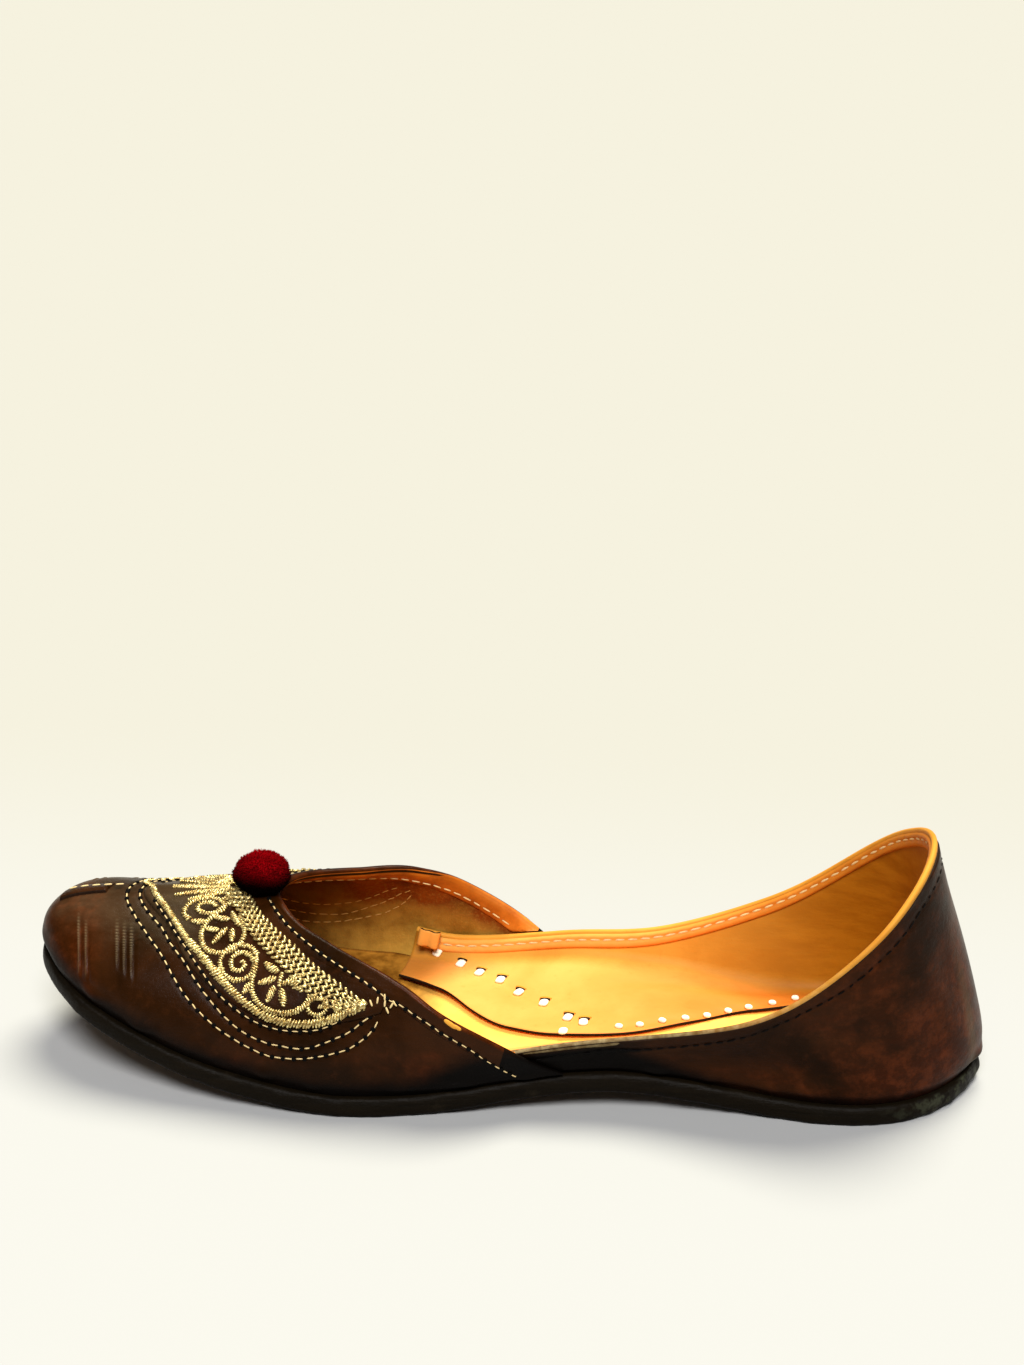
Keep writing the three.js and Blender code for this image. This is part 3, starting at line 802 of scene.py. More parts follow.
def toe_bulge(station, share):
    """The right side's leather stands up a little beyond the lap at the toe, where it is pulled over."""
    return TOE_BULGE * np.exp(-((station - 11.6) / 0.4) ** 2 - ((share - 0.36) / 0.2) ** 2)


def vamp_face(station, share):
    swell = waviness(wall(station, share, VAMP_FACE), 30 * MM, 3) * smoothstep(share, 0.02, 0.2)
    return wall(station, share, VAMP_FACE + 0.22 * MM * swell + toe_bulge(station, share))


def panel_rise(station, share):
    """The padding is thinner on the right side near the toe."""
    thin = smoothstep(station, 11, 11.5) * (1 - smoothstep(station, 12.6, 13.4)) * (1 - smoothstep(share, 0.72, 0.85))
    return PANEL_RISE * (1 - 0.65 * thin)


def panel_face(station, share):
    swell = waviness(wall(station, share, VAMP_FACE), 14 * MM, 31)
    return wall(station, share, VAMP_FACE + panel_rise(station, share) + 0.1 * MM * swell)


def band_face(station, share):
    return wall(station, share, VAMP_FACE + band_rise(station))


def quarter_face(station, share):
    swell = waviness(wall(station, share), 34 * MM, 11) * smoothstep(share, 0.02, 0.2)
    return wall(station, share, 0.3 * MM * swell)


def lining_low(station):
    """The share at which the lining leaves the wall and bends in over the insole."""
    return 5.5 * MM / np.maximum(column("top_z", station), 10 * MM)


LINING_ROLL = 0.85
FLAP_BEND = 4 * MM
FLAP_CURL = 0.9 * MM


def lining_skin(station, way):
    """The lining's inner face: way runs 0 to 1 down the wall, to 2 round the bend, and to 3 over the flap."""
    station, way = (np.array(part) for part in np.broadcast_arrays(
        np.asarray(station, float), np.asarray(way, float)))
    at, side = fold(station)
    low = lining_low(station)
    top = collar_share(station) - LINING_ROLL * share_of(MM, station)
    down = np.clip(way, 0, 1)
    on_wall = wall(station, top * (1 - down) + low * down, -QUARTER_THICKNESS)
    inset = QUARTER_THICKNESS + set_back(station)
    t = np.clip(way - 1, 0, 1)[..., None]
    corner = floor_point(station, inset, FLANGE_TOP)
    bend_end = floor_point(station, inset + FLAP_BEND, FLANGE_TOP)
    on_bend = (1 - t) ** 2 * on_wall + 2 * t * (1 - t) * corner + t * t * bend_end
    width = np.where(side > 0, column("flap_near", station), column("flap_far", station))
    out = np.maximum(way - 2, 0)
    lift = FLAP_CURL * smoothstep(at, 4.4, 6.4) * np.clip(out, 0, 1) ** 3
    on_flap = floor_point(station, inset + FLAP_BEND + (width - FLAP_BEND) * out, FLANGE_TOP + lift)
    points = np.where((way > 2)[..., None], on_flap, np.where((way > 1)[..., None], on_bend, on_wall))
    soft = 0.15 * MM * waviness(points, 20 * MM, 5) * smoothstep(way, 0, 0.2)
    trough = lining_folds(points)
    points[..., 2] += soft - trough
    return points


def line_distance(points, lines, surface, per_place=60):
    """How far each point is from the nearest of some lines on a surface."""
    tree_points = np.concatenate([surface(*trace(places, per_place).T) for places in lines])
    flat = points.reshape(-1, 3)
    nearest = np.full(len(flat), 1.0)
    block = 2000
    for start in range(0, len(flat), block):
        part = flat[start:start + block]
        gaps = ((part[:, None] - tree_points[None]) ** 2).sum(-1)
        nearest[start:start + block] = np.sqrt(gaps.min(1))
    return nearest.reshape(points.shape[:-1])


def furrow(points, lines, surface, width=FURROW_WIDTH):
    """1 along the lines and 0 beyond their width, as thread presses into leather."""
    return np.exp(-(line_distance(points, lines, surface) / width) ** 2)


def creases(points, rows, surface):
    """How deep the listed creases are: soft troughs that fade out at their ends, with a low ridge beside."""
    total = np.zeros(points.shape[:-1])
    for start, end, depth, width in rows:
        middle = tuple((np.array(start) + end) / 2 + [0.08, 0.03])
        line = surface(*trace([start, middle, end], 20).T)
        flat = points.reshape(-1, 1, 3)
        gaps = np.sqrt(((flat - line[None]) ** 2).sum(-1))
        nearest = gaps.argmin(1)
        along = nearest / (len(line) - 1)
        fade = np.sin(np.pi * np.clip(along, 0.02, 0.98)) ** 0.7
        away = gaps.min(1) / (width * CREASE_SPREAD)
        shape = np.exp(-away ** 2) - 0.35 * np.exp(-(away - 1.6) ** 2)
        total += (depth * MM * fade * shape).reshape(total.shape)
    return total


# Two soft folds in the lining on the far side, in the row frame: where wall and floor meet, and above it.
LINING_FOLDS = [((-0.020, -0.013), (-0.096, -0.029), 0.5 * MM, 3 * MM), ((-0.045, -0.016), (-0.088, -0.0265), 0.35 * MM, 2 * MM)]


def lining_folds(points):
    total = np.zeros(points.shape[:-1])
    for start, end, depth, width in LINING_FOLDS:
        start = np.array(start)
        reach = np.array(end) - start
        along = np.clip(((points[..., :2] - start) @ reach) / (reach @ reach), 0, 1)
        gap = np.linalg.norm(points[..., :2] - start - along[..., None] * reach, axis=-1)
        total += depth * np.exp(-(gap / width) ** 2) * np.sin(np.pi * np.clip(along, 0, 1))
    return total


# Pressed lines across the toe: the place along X where |Y| is 12 mm, and the shares between which each runs.
PRESSED_LINES = [(116.2 * MM, 0.15, 0.43), (114.1 * MM, 0.16, 0.44), (105.4 * MM, 0.35, 0.555),
                 (103.4 * MM, 0.34, 0.57), (101.4 * MM, 0.335, 0.59)]
PRESSED_PLACE = 12 * MM
PRESSED_SLOPE = 0.16
PRESSED_WIDTH = 0.4 * MM
PRESSED_DEPTH = 0.35 * MM


def pressed_lines(points, shares):
    """The grooves, and the sharp lips beside them that catch the light."""
    across = np.abs(points[..., 1])
    grooves = np.zeros(points.shape[:-1])
    lips = np.zeros(points.shape[:-1])
    for place, low, high in PRESSED_LINES:
        gap = points[..., 0] - (place - PRESSED_SLOPE * (across - PRESSED_PLACE))
        inside = smoothstep(shares, low - 0.03, low + 0.04) * (1 - smoothstep(shares, high - 0.05, high + 0.01))
        grooves += np.exp(-(gap / PRESSED_WIDTH) ** 2) * inside
        lips += np.exp(-((gap - 1.7 * PRESSED_WIDTH) / (0.55 * PRESSED_WIDTH)) ** 2) * inside
    return grooves, lips


def hem(points, shares, size, seed):
    """The lower edge of the upper's leather: tucked in to the seam, with puckers where it is pulled down."""
    tuck = HEM_TUCK * (1 - smoothstep(shares, 0, HEM_SHARE))
    pucker = np.maximum(0, waviness(points, size, seed)) ** 1.5
    bulge = smoothstep(shares, 0, 0.045) * (1 - smoothstep(shares, 0.06, 0.16))
    return 0.95 * MM * pucker * bulge - tuck


def make_vamp():
    """The front half of the upper: polished face, rolled throat edge and raw flesh side in one skin."""
    rear_part = even(VAMP_REAR, 8.8, 130)[:-1]
    toe_part = even(8.8, TOE, 170)
    left = np.concatenate([rear_part, toe_part])
    stations = np.concatenate([left, (AROUND - left)[::-1][1:]])
    top = vamp_share(stations)
    length = share_of(1 * MM, stations)
    roll = VAMP_LEATHER / 2
    last_share = top - roll / MM * length
    shares = np.array(between_rows(0 * top, last_share, 92))
    points = vamp_face(stations, shares)
    seams = [OUTER_STITCHES, INNER_STITCHES, far(OUTER_STITCHES), far(INNER_STITCHES)]
    grooves, lips = pressed_lines(points, shares)
    relief = -FURROW_DEPTH * furrow(points, seams, vamp_face) - PRESSED_DEPTH * (grooves - 0.7 * lips)
    relief += hem(points, shares, 11 * MM, 12)
    relief -= creases(points, VAMP_CREASES + [(*far([start, end]), depth, width)
                                              for start, end, depth, width in VAMP_CREASES], vamp_face)
    outward = unit(vamp_face(stations, shares) - wall(stations, shares, 0))
    face = points + outward * relief[..., None]
    edge = [wall(stations, top - (roll - roll * np.cos(turn)) / MM * length, VAMP_FACE - roll + roll * np.sin(turn))
            for turn in even(1.2, -1.57, 7)]
    back_shares = [last_share * share for share in even(1, 0.01, 30)[1:]]
    back = [wall(stations, share, VAMP_FACE - VAMP_LEATHER) for share in back_shares]
    points = np.concatenate([face, edge, back])
    heights = np.concatenate([np.ones(len(face) + len(edge)), even(1, 0, 30)[1:]])[:, None] * np.ones(len(stations))
    red = 0.5 * smoothstep(points[..., 0], 0.1, 0.118)
    red = np.maximum(red, 0.45 * (1 - smoothstep(points[..., 2], 0.014, 0.03)) * smoothstep(points[..., 0], -0.005, 0.02))
    # Painted shade: near black low down by the sole, reaching higher at the waist.
    above = points[..., 2] - sole_top(points[..., 0] - HEEL_BACK)
    waist = 1 - smoothstep(points[..., 0], 0, 0.03)
    dark = (1 - smoothstep(above, 0.001, 0.011 + 0.012 * waist)) * (0.8 + 0.4 * waist)
    zones = [0] * (len(face) - 1) + [1] * len(edge) + [2] * len(back)
    # Painted sheen on the pressed lines' lips and on the vamp's upper part.
    haze = np.zeros(red.shape)
    haze[:len(face)] = 0.5 * lips + 0.3 * smoothstep(face[..., 2], 0.03, 0.042)
    bm = lay(points, {"red": red, "dark": dark, "haze": haze, "height": heights}, zones, turned=True)
    return finish_piece("vamp", bm, [PATINA, PATINA, FLESH], ["upper"])


def rim_width(station):
    """How much of the tan rim shows outside, in millimetres: most at the heel."""
    return 2.3 - 1.6 * smoothstep(fold(station)[0], 0.8, 3.6)


def make_quarter():
    """The rear half of the upper: dark polished leather that ends 2 mm under the rolled tan rim."""
    stations = even(-QUARTER_FRONT, QUARTER_FRONT, 420)
    length = share_of(1 * MM, stations)
    top = collar_share(stations) - rim_width(stations) * length
    shares = np.array([top * share for share in even(0, 1, 60)])
    points = quarter_face(stations, shares)
    relief = hem(points, shares, 13 * MM, 15)
    seam = furrow(points, [COLLAR_STITCHES, far(COLLAR_STITCHES)], quarter_face)
    relief -= 1.6 * FURROW_DEPTH * seam
    relief -= creases(points, QUARTER_CREASES + [(*far([start, end]), depth, width)
                                                 for start, end, depth, width in QUARTER_CREASES], quarter_face)
    outward = unit(quarter_face(stations, shares) - wall(stations, shares, -2 * MM))
    face = points + outward * relief[..., None]
    edge = [wall(stations, top + 0.35 * length * np.cos(turn), -0.5 * MM + 0.5 * MM * np.sin(turn))
            for turn in even(1.2, -1.57, 5)]
    under = [wall(stations, top - 1.5 * length, -1.0 * MM)]
    points = np.concatenate([face, edge, under])
    behind = 1 - smoothstep(points[..., 0], -0.12, -0.06)
    low = 1 - smoothstep(points[..., 2], 0.012, 0.035)
    red = 0.3 + 0.3 * behind + 0.25 * low * behind
    # Painted shade: near black low down by the sole, stronger towards the waist, and along the collar seam's furrow.
    above = points[..., 2] - sole_top(points[..., 0] - HEEL_BACK)
    waist = smoothstep(points[..., 0], -0.07, -0.02)
    dark = (1 - smoothstep(above, 0.001, 0.006 + 0.012 * waist)) * (0.7 + 0.5 * waist)
    zones = [0] * (len(face) - 1) + [1] * (len(edge) + 1)
    dark = dark.copy()
    dark[:len(face)] += 0.5 * seam
    # Painted sheen in a band on each side of the heel's back.
    around = np.abs(stations) / 0.42 - 1
    haze = 0.42 * np.exp(-(around / 0.4) ** 2) * smoothstep(points[..., 2], 0.075, 0.02)
    bm = lay(points, {"red": red, "dark": dark, "haze": haze}, zones, turned=True)
    return finish_piece("quarter", bm, [PATINA, CUT_EDGE])


def make_lining():
    """The tan lining: rolled over the collar's rim, down inside, and turned in over the insole as a flap."""
    stations = even(-QUARTER_FRONT, QUARTER_FRONT, 400)
    length = share_of(1 * MM, stations)
    top = collar_share(stations)
    outside = [(3.2, -0.8), (2.4, -0.5), (1.8, -0.25), (1.2, -0.15)]
    rim = [wall(stations, top - down * length, depth * MM) for down, depth in outside]
    rim += [wall(stations, top - (LINING_ROLL - LINING_ROLL * np.cos(turn)) * length,
                 (-0.95 + LINING_ROLL * np.sin(turn)) * MM) for turn in even(1.3, -1.57, 8)]
    ways = np.concatenate([even(0, 1, 40)[1:], even(1, 2, 8)[1:], even(2, 3, 30)[1:]])
    inside = [lining_skin(stations, way) for way in ways]
    points = np.array(rim + inside)
    dips = furrow(points, [BIG_HAND_STITCHES, SMALL_HAND_STITCHES], lining_skin, 1.6 * MM)
    points[len(rim):, :, 2] -= 0.35 * MM * dips[len(rim):]
    worn = np.zeros(points.shape[:-1])
    at, hand = fold(stations)
    worn[:len(rim)] = smoothstep(at, 1.6, 3.8) * (hand > 0)
    # Painted shade: strong in the heel, weaker at its very back and on the flap, some at the far wing's front, little
    # on the rim.
    behind = 1 - smoothstep(points[..., 0], -0.1, -0.025)
    back = 1 - 0.9 * smoothstep(points[..., 0], -0.108, -0.124)
    # The flap mark blends the lining to the flap's paler, painted-light copy of the tan.
    flap = np.concatenate([np.zeros(len(rim)), smoothstep(ways, 1.3, 2.1)])[:, None]
    wing = 0.7 * smoothstep(at, 5.7, 6.4) * (hand < 0)
    soil = np.clip(behind * back * (1 - 0.35 * flap) + wing, 0, 1)
    soil[:len(rim)] *= 0.35
    bm = lay(points, {"soil": soil, "worn": worn, "flap": flap}, turned=True)
    piece = finish_piece("lining", bm, [LINING, CUT_EDGE])
    return solidify(piece, LINING_THICKNESS, rim=1)


def make_insole():
    stations = even(0, TOE, 200)
    inset = (QUARTER_THICKNESS + 0.6 * MM) * (1 - smoothstep(stations, 6.2, 6.9)) - 0.3 * MM + set_back(stations)
    height = 0.3 * MM + INSOLE_THICKNESS
    left = floor_point(stations, inset, height)
    rows = []
    for share in even(1, -1, 60):
        row = left.copy()
        row[:, 1] *= share
        rows.append(row)
    points = np.array(rows)
    points[..., 2] += 0.15 * MM * waviness(points, 24 * MM, 8)
    forward = smoothstep(points[..., 0], 0.014, 0.03)
    bm = lay(points, {"forward": forward}, joined=True, turned=True)
    piece = finish_piece("insole_sock", bm, [SOCK], ["insole"])
    return solidify(piece, INSOLE_THICKNESS)


# The sole's edge from below: reach past the feather line and height over the underside, in millimetres.
SOLE_EDGE = [(-2.2, 0), (-0.5, 0), (0.6, 0.05), (1.2, 0.28), (1.5, 0.8), (1.6, 1.6), (1.55, 2.8), (1.4, 4),
             (1.1, 4.85), (0.6, 5.35), (-0.1, 5.5), (-1.5, 5.5)]
TOE_TUCK = 0.9 * MM
HEEL_TUCK = 0.9 * MM


def make_outsole():
    """The sole: flat worn underside, rounded lower edge, layered black side and the seat under the upper."""
    stations = even(0, AROUND, 640)
    foot_x = column("foot_x", stations)
    foot_y = column("foot_y", stations)
    out = foot_outward(stations)
    at = fold(stations)[0]
    tuck = TOE_TUCK * smoothstep(at, 9.6, 10.7) + HEEL_TUCK * (1 - smoothstep(at, 0.5, 1.6))
    inner = SOLE_EDGE[0][0] * MM
    seat = SOLE_EDGE[-1][0] * MM
    rows = []
    for share in even(0, 1, 9)[:-1]:
        x = foot_x + inner * out[:, 0]
        rows.append(np.stack([x, (foot_y + inner * out[:, 1]) * share, sole_rise(x)], -1))
    for reach, height in SOLE_EDGE:
        x = foot_x + (reach * MM - tuck) * out[:, 0]
        y = foot_y + (reach * MM - tuck) * out[:, 1]
        rows.append(np.stack([x, y, sole_rise(x) + height * MM], -1))
    for share in even(1, 0, 4)[1:]:
        x = foot_x + seat * out[:, 0]
        rows.append(np.stack([x, (foot_y + seat * out[:, 1]) * share, sole_top(x)], -1))
    points = np.array(rows)
    points[..., 0] += HEEL_BACK
    on_side = np.zeros(len(rows))
    on_side[10:18] = 1
    heel = 1 - smoothstep(points[..., 0], -0.122, -0.1)
    wrinkles = waviness(points * [1, 1, 0.35], 4.5 * MM, 21) * heel * 0.4 * MM
    rough = waviness(points, 7 * MM, 23) * 0.14 * MM + waviness(points, 3 * MM, 24) * 0.06 * MM
    nick = np.linalg.norm(points - SOLE_NICK, axis=-1)
    rough -= 0.8 * MM * np.exp(-(nick / (1.3 * MM)) ** 2)
    points += out[None] * ((wrinkles + rough) * on_side[:, None])[..., None]
    under = 1 - smoothstep(np.arange(len(rows)), 8, 11)
    marks = {"under": np.repeat(under[:, None], len(stations), 1), "dusty": heel * on_side[:, None]}
    bm = lay(points, marks, joined=True, turned=True)
    return finish_piece("sole", bm, [SOLE], ["outsole"])


def make_panel():
    """The padded crescent that carries the gold work, with a rounded shoulder along its lower edge."""
    stations = even(PANEL_TIP, AROUND - PANEL_TIP, 420)
    length = share_of(1 * MM, stations)
    high = band_low(stations) + 0.6 * length
    low = np.minimum(column("panel", stations), high - 0.3 * length)
    shoulder = 1.1
    steps = np.array([0, 0.08, 0.2, 0.36, 0.56, 0.8, shoulder])
    start = np.minimum(low + shoulder * length, high)
    shares = [np.minimum(low + step * length, high) for step in steps]
    shares = np.array(shares + [start + (high - start) * share for share in even(0, 1, 30)[1:]])
    points = panel_face(stations, shares)
    sunk = FURROW_DEPTH * furrow(points, [GUARD_STITCHES, far(GUARD_STITCHES)], panel_face)
    rounding = 1 - np.sqrt(1 - (1 - steps / shoulder) ** 2)
    sunk[:len(steps)] += (PANEL_RISE + 0.4 * MM) * rounding[:, None]
    points -= unit(points - wall(stations, shares)) * sunk[..., None]
    red = np.full(points.shape[:-1], 0.25)
    # Painted sheen on the crescent, more towards the toe.
    bm = lay(points, {"red": red, "dark": 0 * red, "haze": 0.08 + 0.3 * smoothstep(points[..., 0], 0.07, 0.09)}, turned=True)
    return finish_piece("crescent_panel", bm, [PATINA], ["embroidered_panel"])


def make_band():
    """The strip folded over the throat's edge: a ledge on the vamp, and a roll over the edge."""
    stations = even(BAND_REAR, AROUND - BAND_REAR, 420)
    length = share_of(1 * MM, stations)
    top = vamp_share(stations)
    low = band_low(stations)
    rise = band_rise(stations)
    width = 0.8
    rows = []
    for step in (0, 0.06, 0.16, 0.3, 0.5, width):
        bulge = math.sqrt(1 - (1 - step / width) ** 2)
        rows.append(wall(stations, low + step * length, VAMP_FACE - 0.3 * MM + (rise + 0.3 * MM) * bulge))
    roll = (VAMP_LEATHER + rise) / 2
    start = low + width * length
    end = top - roll / MM * length
    shares = np.array([start + (end - start) * share for share in even(0, 1, 14)[1:]])
    points = band_face(stations, shares)
    pressed = furrow(points, [BAND_STITCHES, far(BAND_STITCHES)], band_face, 0.7 * MM)
    rows += list(wall(stations, shares, VAMP_FACE + rise - FURROW_DEPTH * pressed))
    middle = VAMP_FACE + rise - roll
    rows += [wall(stations, top - (roll - roll * np.cos(turn)) / MM * length, middle + roll * np.sin(turn))
             for turn in even(1.57, -1.57, 9)]
    points = np.array(rows)
    rolled = smoothstep(np.arange(len(rows)), 18, 24)[:, None] * np.ones(len(stations))
    bm = lay(points, {"red": 0.2 + 0.65 * rolled, "dark": np.zeros_like(rolled)}, turned=True)
    return finish_piece("folded_band", bm, [PATINA], ["throat_band"])


# The strips inside the throat and the collar: distance below the edge, and depth, in millimetres.
THROAT_STRIP = [(1.0, -0.25), (1.4, -0.45), (3, -0.5), (4.5, -0.5), (5.6, -0.45), (6.1, -0.3), (6.2, 0.1)]
COLLAR_STRIP = [(1.1, -1.6), (1.3, -2.1), (1.6, -2.45), (2.1, -2.7), (2.6, -2.6), (2.9, -2.45), (3.2, -2.55),
                (3.7, -2.75), (4.3, -2.85), (4.9, -2.7), (5.3, -2.35), (5.35, -1.7)]
SCALLOP = 3.6 * MM
COLLAR_SEAM_DOWN = 2.9


def throat_seam():
    """A line of stitches low on the strip inside the throat."""
    stations = np.linspace(5.5, TOE - 0.5, 24)
    return [(at, float(vamp_share(at) - 4.6 * share_of(MM, at))) for at in stations]


def throat_skin(station, share):
    return wall(station, share, VAMP_FACE - VAMP_LEATHER - 0.5 * MM)


def make_throat_facing():
    stations = even(FACING_REAR, AROUND - FACING_REAR, 320)
    length = share_of(1 * MM, stations)
    top = vamp_share(stations)
    floor_share = collar_share(stations) + 0.3 * length
    inner = VAMP_FACE - VAMP_LEATHER
    roll = (VAMP_LEATHER + band_rise(stations)) / 2
    around = roll + 0.12 * MM
    middle = inner + roll
    rows = [wall(stations, top - (roll - around * np.cos(turn)) / MM * length, middle + around * np.sin(turn))
            for turn in (-0.3, -0.5, -0.8, -1.1, -1.4)]
    for down, depth in THROAT_STRIP:
        share = np.maximum(top - down * length, np.minimum(floor_share, top - 0.4 * length))
        rows.append(wall(stations, np.where(fold(stations)[0] < QUARTER_FRONT, share, top - down * length),
                         inner + depth * MM))
    bm = lay(np.array(rows), turned=True)
    return finish_piece("throat_strip", bm, [FACING], ["throat_facing"])


def collar_seam():
    stations = np.linspace(-6.4, 6.4, 60)
    return [(at, float(collar_share(at) - COLLAR_SEAM_DOWN * share_of(MM, at))) for at in stations]


def collar_skin(station, share):
    return wall(station, share, -2.5 * MM)


def make_collar_facing():
    """The strip inside the collar, puckered into scallops by its stitches."""
    stations = even(-6.5, 6.5, 900)
    length = share_of(1 * MM, stations)
    top = collar_share(stations)
    line = collar_skin(stations, top)
    reach = np.concatenate([[0], np.cumsum(np.linalg.norm(np.diff(line, axis=0), axis=1))])
    scallop = np.abs(np.sin(math.pi * reach / SCALLOP))
    least = 0.04
    rows = []
    for i, (down, depth) in enumerate(COLLAR_STRIP):
        near_seam = math.exp(-((down - COLLAR_SEAM_DOWN) / 1.1) ** 2)
        pucker = 0.22 * near_seam * (scallop - 0.6)
        share = np.maximum(top - down * length, least + 0.002 * (len(COLLAR_STRIP) - i))
        rows.append(wall(stations, share, (depth - pucker) * MM))
    points = np.array(rows)
    # Painted shade towards the heel, weaker at its very back; the flap mark gives the strip most of the flap's paler,
    # painted-light tan.
    soil = 0.6 * (1 - smoothstep(points[..., 0], -0.1, -0.035)) * (1 - 0.6 * smoothstep(points[..., 0], -0.105, -0.125))
    bm = lay(points, {"soil": soil, "worn": 0 * soil, "flap": 0.6 + 0 * soil}, turned=True)
    return finish_piece("collar_strip", bm, [LINING], ["collar_facing"])


# The strip's front end on the far side is folded down into a small tab.
TAB_STATION = 6.42
TAB_LENGTH = 4.6 * MM
TAB_WIDTH = 5.6 * MM


def make_collar_tab():
    place = AROUND - TAB_STATION
    top = float(collar_share(place))
    here = wall(place, top, -2.2 * MM)
    ahead = unit(wall(place - 0.2, top, -2.2 * MM) - here)
    down = unit(wall(place, top - 0.2, -2.2 * MM) - here)
    inward = unit(wall(place, top, -4 * MM) - here)
    rows = []
    for share in even(0, 1, 10):
        curl = math.sin(share * 1.5) * 1.4 * MM
        row = []
        for across in even(0, 1, 12):
            fold_lift = 0.9 * MM * math.sin(across * math.pi) * (1 - share) + 0.35 * MM * math.sin(across * 9)
            row.append(here + ahead * (across - 0.55) * TAB_WIDTH + down * (share - 0.35) * TAB_LENGTH
                       + inward * (1.1 * MM + curl + fold_lift))
        rows.append(row)
    points = np.array(rows)
    zero = np.zeros(points.shape[:-1])
    # A little painted shade, and half of the flap's paler, painted-light tan.
    bm = lay(points, {"soil": zero + 0.1, "worn": zero, "flap": zero + 0.5})
    piece = finish_piece("collar_tab", bm, [LINING, CUT_EDGE])
    return solidify(piece, 1.1 * MM, 0, rim=1)


def lap_face(station, share, lift=0.95 * MM):
    """A surface a little over the vamp's, for what lies on it."""
    here = vamp_face(station, share)
    return here + unit(here - wall(station, share, VAMP_FACE - 3 * MM)) * np.asarray(lift)[..., None]


def make_toe_lap():
    """At the tip the right side's leather laps over the left's along the middle, with a dark cut edge."""
    shares = even(0.325, 0.565, 60)
    edge = 10.985
    steps = ((0, -0.5), (0, 0.6), (0.003, 0.85), (0.01, 0.95), (0.03, 0.95), (0.1, 0.85), (0.18, 0.6), (0.28, 0.25),
             (0.36, -0.3))
    fade = smoothstep(shares, 0.325, 0.345) * (1 - smoothstep(shares, 0.557, 0.564))
    points = np.array([lap_face(edge + step, shares, (depth * fade - 0.3 * (1 - fade)) * MM)
                       for step, depth in steps])
    zero = np.zeros(points.shape[:-1])
    zones = [1, 1] + [0] * (len(steps) - 3)
    # A faint painted sheen all over the lap.
    bm = lay(points, {"red": 0.1 + zero, "dark": zero, "haze": 0.1 + zero}, zones)
    return finish_piece("toe_lap", bm, [PATINA, CUT_EDGE], ["toe_seam"])


# White hand stitches that hold the flap down, on the lining's far side, and a nick in the sole near the toe.
BIG_HAND_STITCHES = far([(6.28, 1.32), (5.95, 1.88), (5.67, 2.166), (5.38, 2.275), (5.11, 2.452), (4.79, 2.576), (4.48, 2.765), (4.32, 2.835)])
LAST_HAND_STITCH = far([(4.47, 2.97)])
SMALL_HAND_STITCHES = far([(4.02, 2.894), (3.86, 2.894), (3.69, 2.884), (3.51, 2.917), (3.34, 2.954), (3.17, 2.939), (3.0, 2.906), (2.82, 2.701), (2.63, 2.35)])
SOLE_NICK = np.array([0.105, 0.0215, 0.0155])

make_vamp()
make_quarter()
make_lining()
make_insole()
make_outsole()
make_panel()
make_band()
make_throat_facing()
make_collar_facing()
make_collar_tab()
make_toe_lap()


# Stitches in plain thread.
def make_machine_stitches():
    """The cream rows round the crescent and along the throat, with black beads between them as painted shade in the
    needle holes.
    """
    rows = [OUTER_STITCHES, INNER_STITCHES, far(OUTER_STITCHES), far(INNER_STITCHES)]
    cream, cream_holes = running_stitches(rows, 3.05 * MM, 1.95 * MM, 0.44 * MM, vamp_face, FURROW_DEPTH)
    band, band_holes = running_stitches([BAND_STITCHES, far(BAND_STITCHES)], 2.9 * MM, 1.7 * MM, 0.4 * MM,
                                        band_face, FURROW_DEPTH)
    guard, guard_holes = running_stitches([GUARD_STITCHES, far(GUARD_STITCHES)], 2.8 * MM, 1.7 * MM, 0.36 * MM,
                                          panel_face, FURROW_DEPTH)
    seam = throat_seam()
    strip, _ = running_stitches([seam, far(seam)], 3.2 * MM, 2.4 * MM, 0.5 * MM, throat_skin, 0.15 * MM)
    finish_piece("vamp_stitches", repeat(STITCH, np.concatenate([cream, band, strip])), [CREAM_THREAD])
    finish_piece("guard_stitches", repeat(STITCH, guard), [CREAM_THREAD])
    holes = [cream_holes, band_holes, guard_holes]
    for line in (COLLAR_STITCHES, far(COLLAR_STITCHES)):
        steps = pace(line, 3.3 * MM, quarter_face)
        count = len(steps[0])
        holes.append(stand(steps, 1.0 * MM + shaky(count, 0.2 * MM, 8), 0.2 * MM, 0.2 * MM, shaky(count, 0.1, 9),
                           -0.12 * MM))
    holes = np.concatenate(holes)
    # The needle holes are black beads on the leather: painted shade, not cut holes.
    finish_piece("needle_hole_shade", repeat(HOLE, holes), [PAINTED_HOLE_SHADE])


def flesh_skin(station, share):
    return wall(station, share, VAMP_FACE - VAMP_LEATHER)


def make_inside_stitches():
    """What shows inside: the collar strip's cream stitches, and the backs of the crescent's rows."""
    collar, _ = running_stitches([collar_seam()], SCALLOP, 3.0 * MM, 0.8 * MM, collar_skin, 0.05 * MM)
    backs, _ = running_stitches([OUTER_STITCHES, INNER_STITCHES, far(OUTER_STITCHES), far(INNER_STITCHES),
                                 far(GUARD_STITCHES)], 3.05 * MM, 2.3 * MM, 0.4 * MM, flesh_skin, 0.06 * MM)
    finish_piece("collar_strip_stitches", repeat(STITCH, collar), [CREAM_THREAD])
    finish_piece("flesh_side_stitches", repeat(STITCH, backs), [TAN_THREAD])


def on_lining(places):
    """Places on the lining with the direction across the flap, away from its edge, and the inward direction."""
    here, _, inward = spots(places, lining_skin)
    station, way = np.array(places, float).T
    across = unit(lining_skin(station, way - 0.05) - lining_skin(station, way + 0.05))
    return here, across, inward * np.sign(inward[:, 2:3])


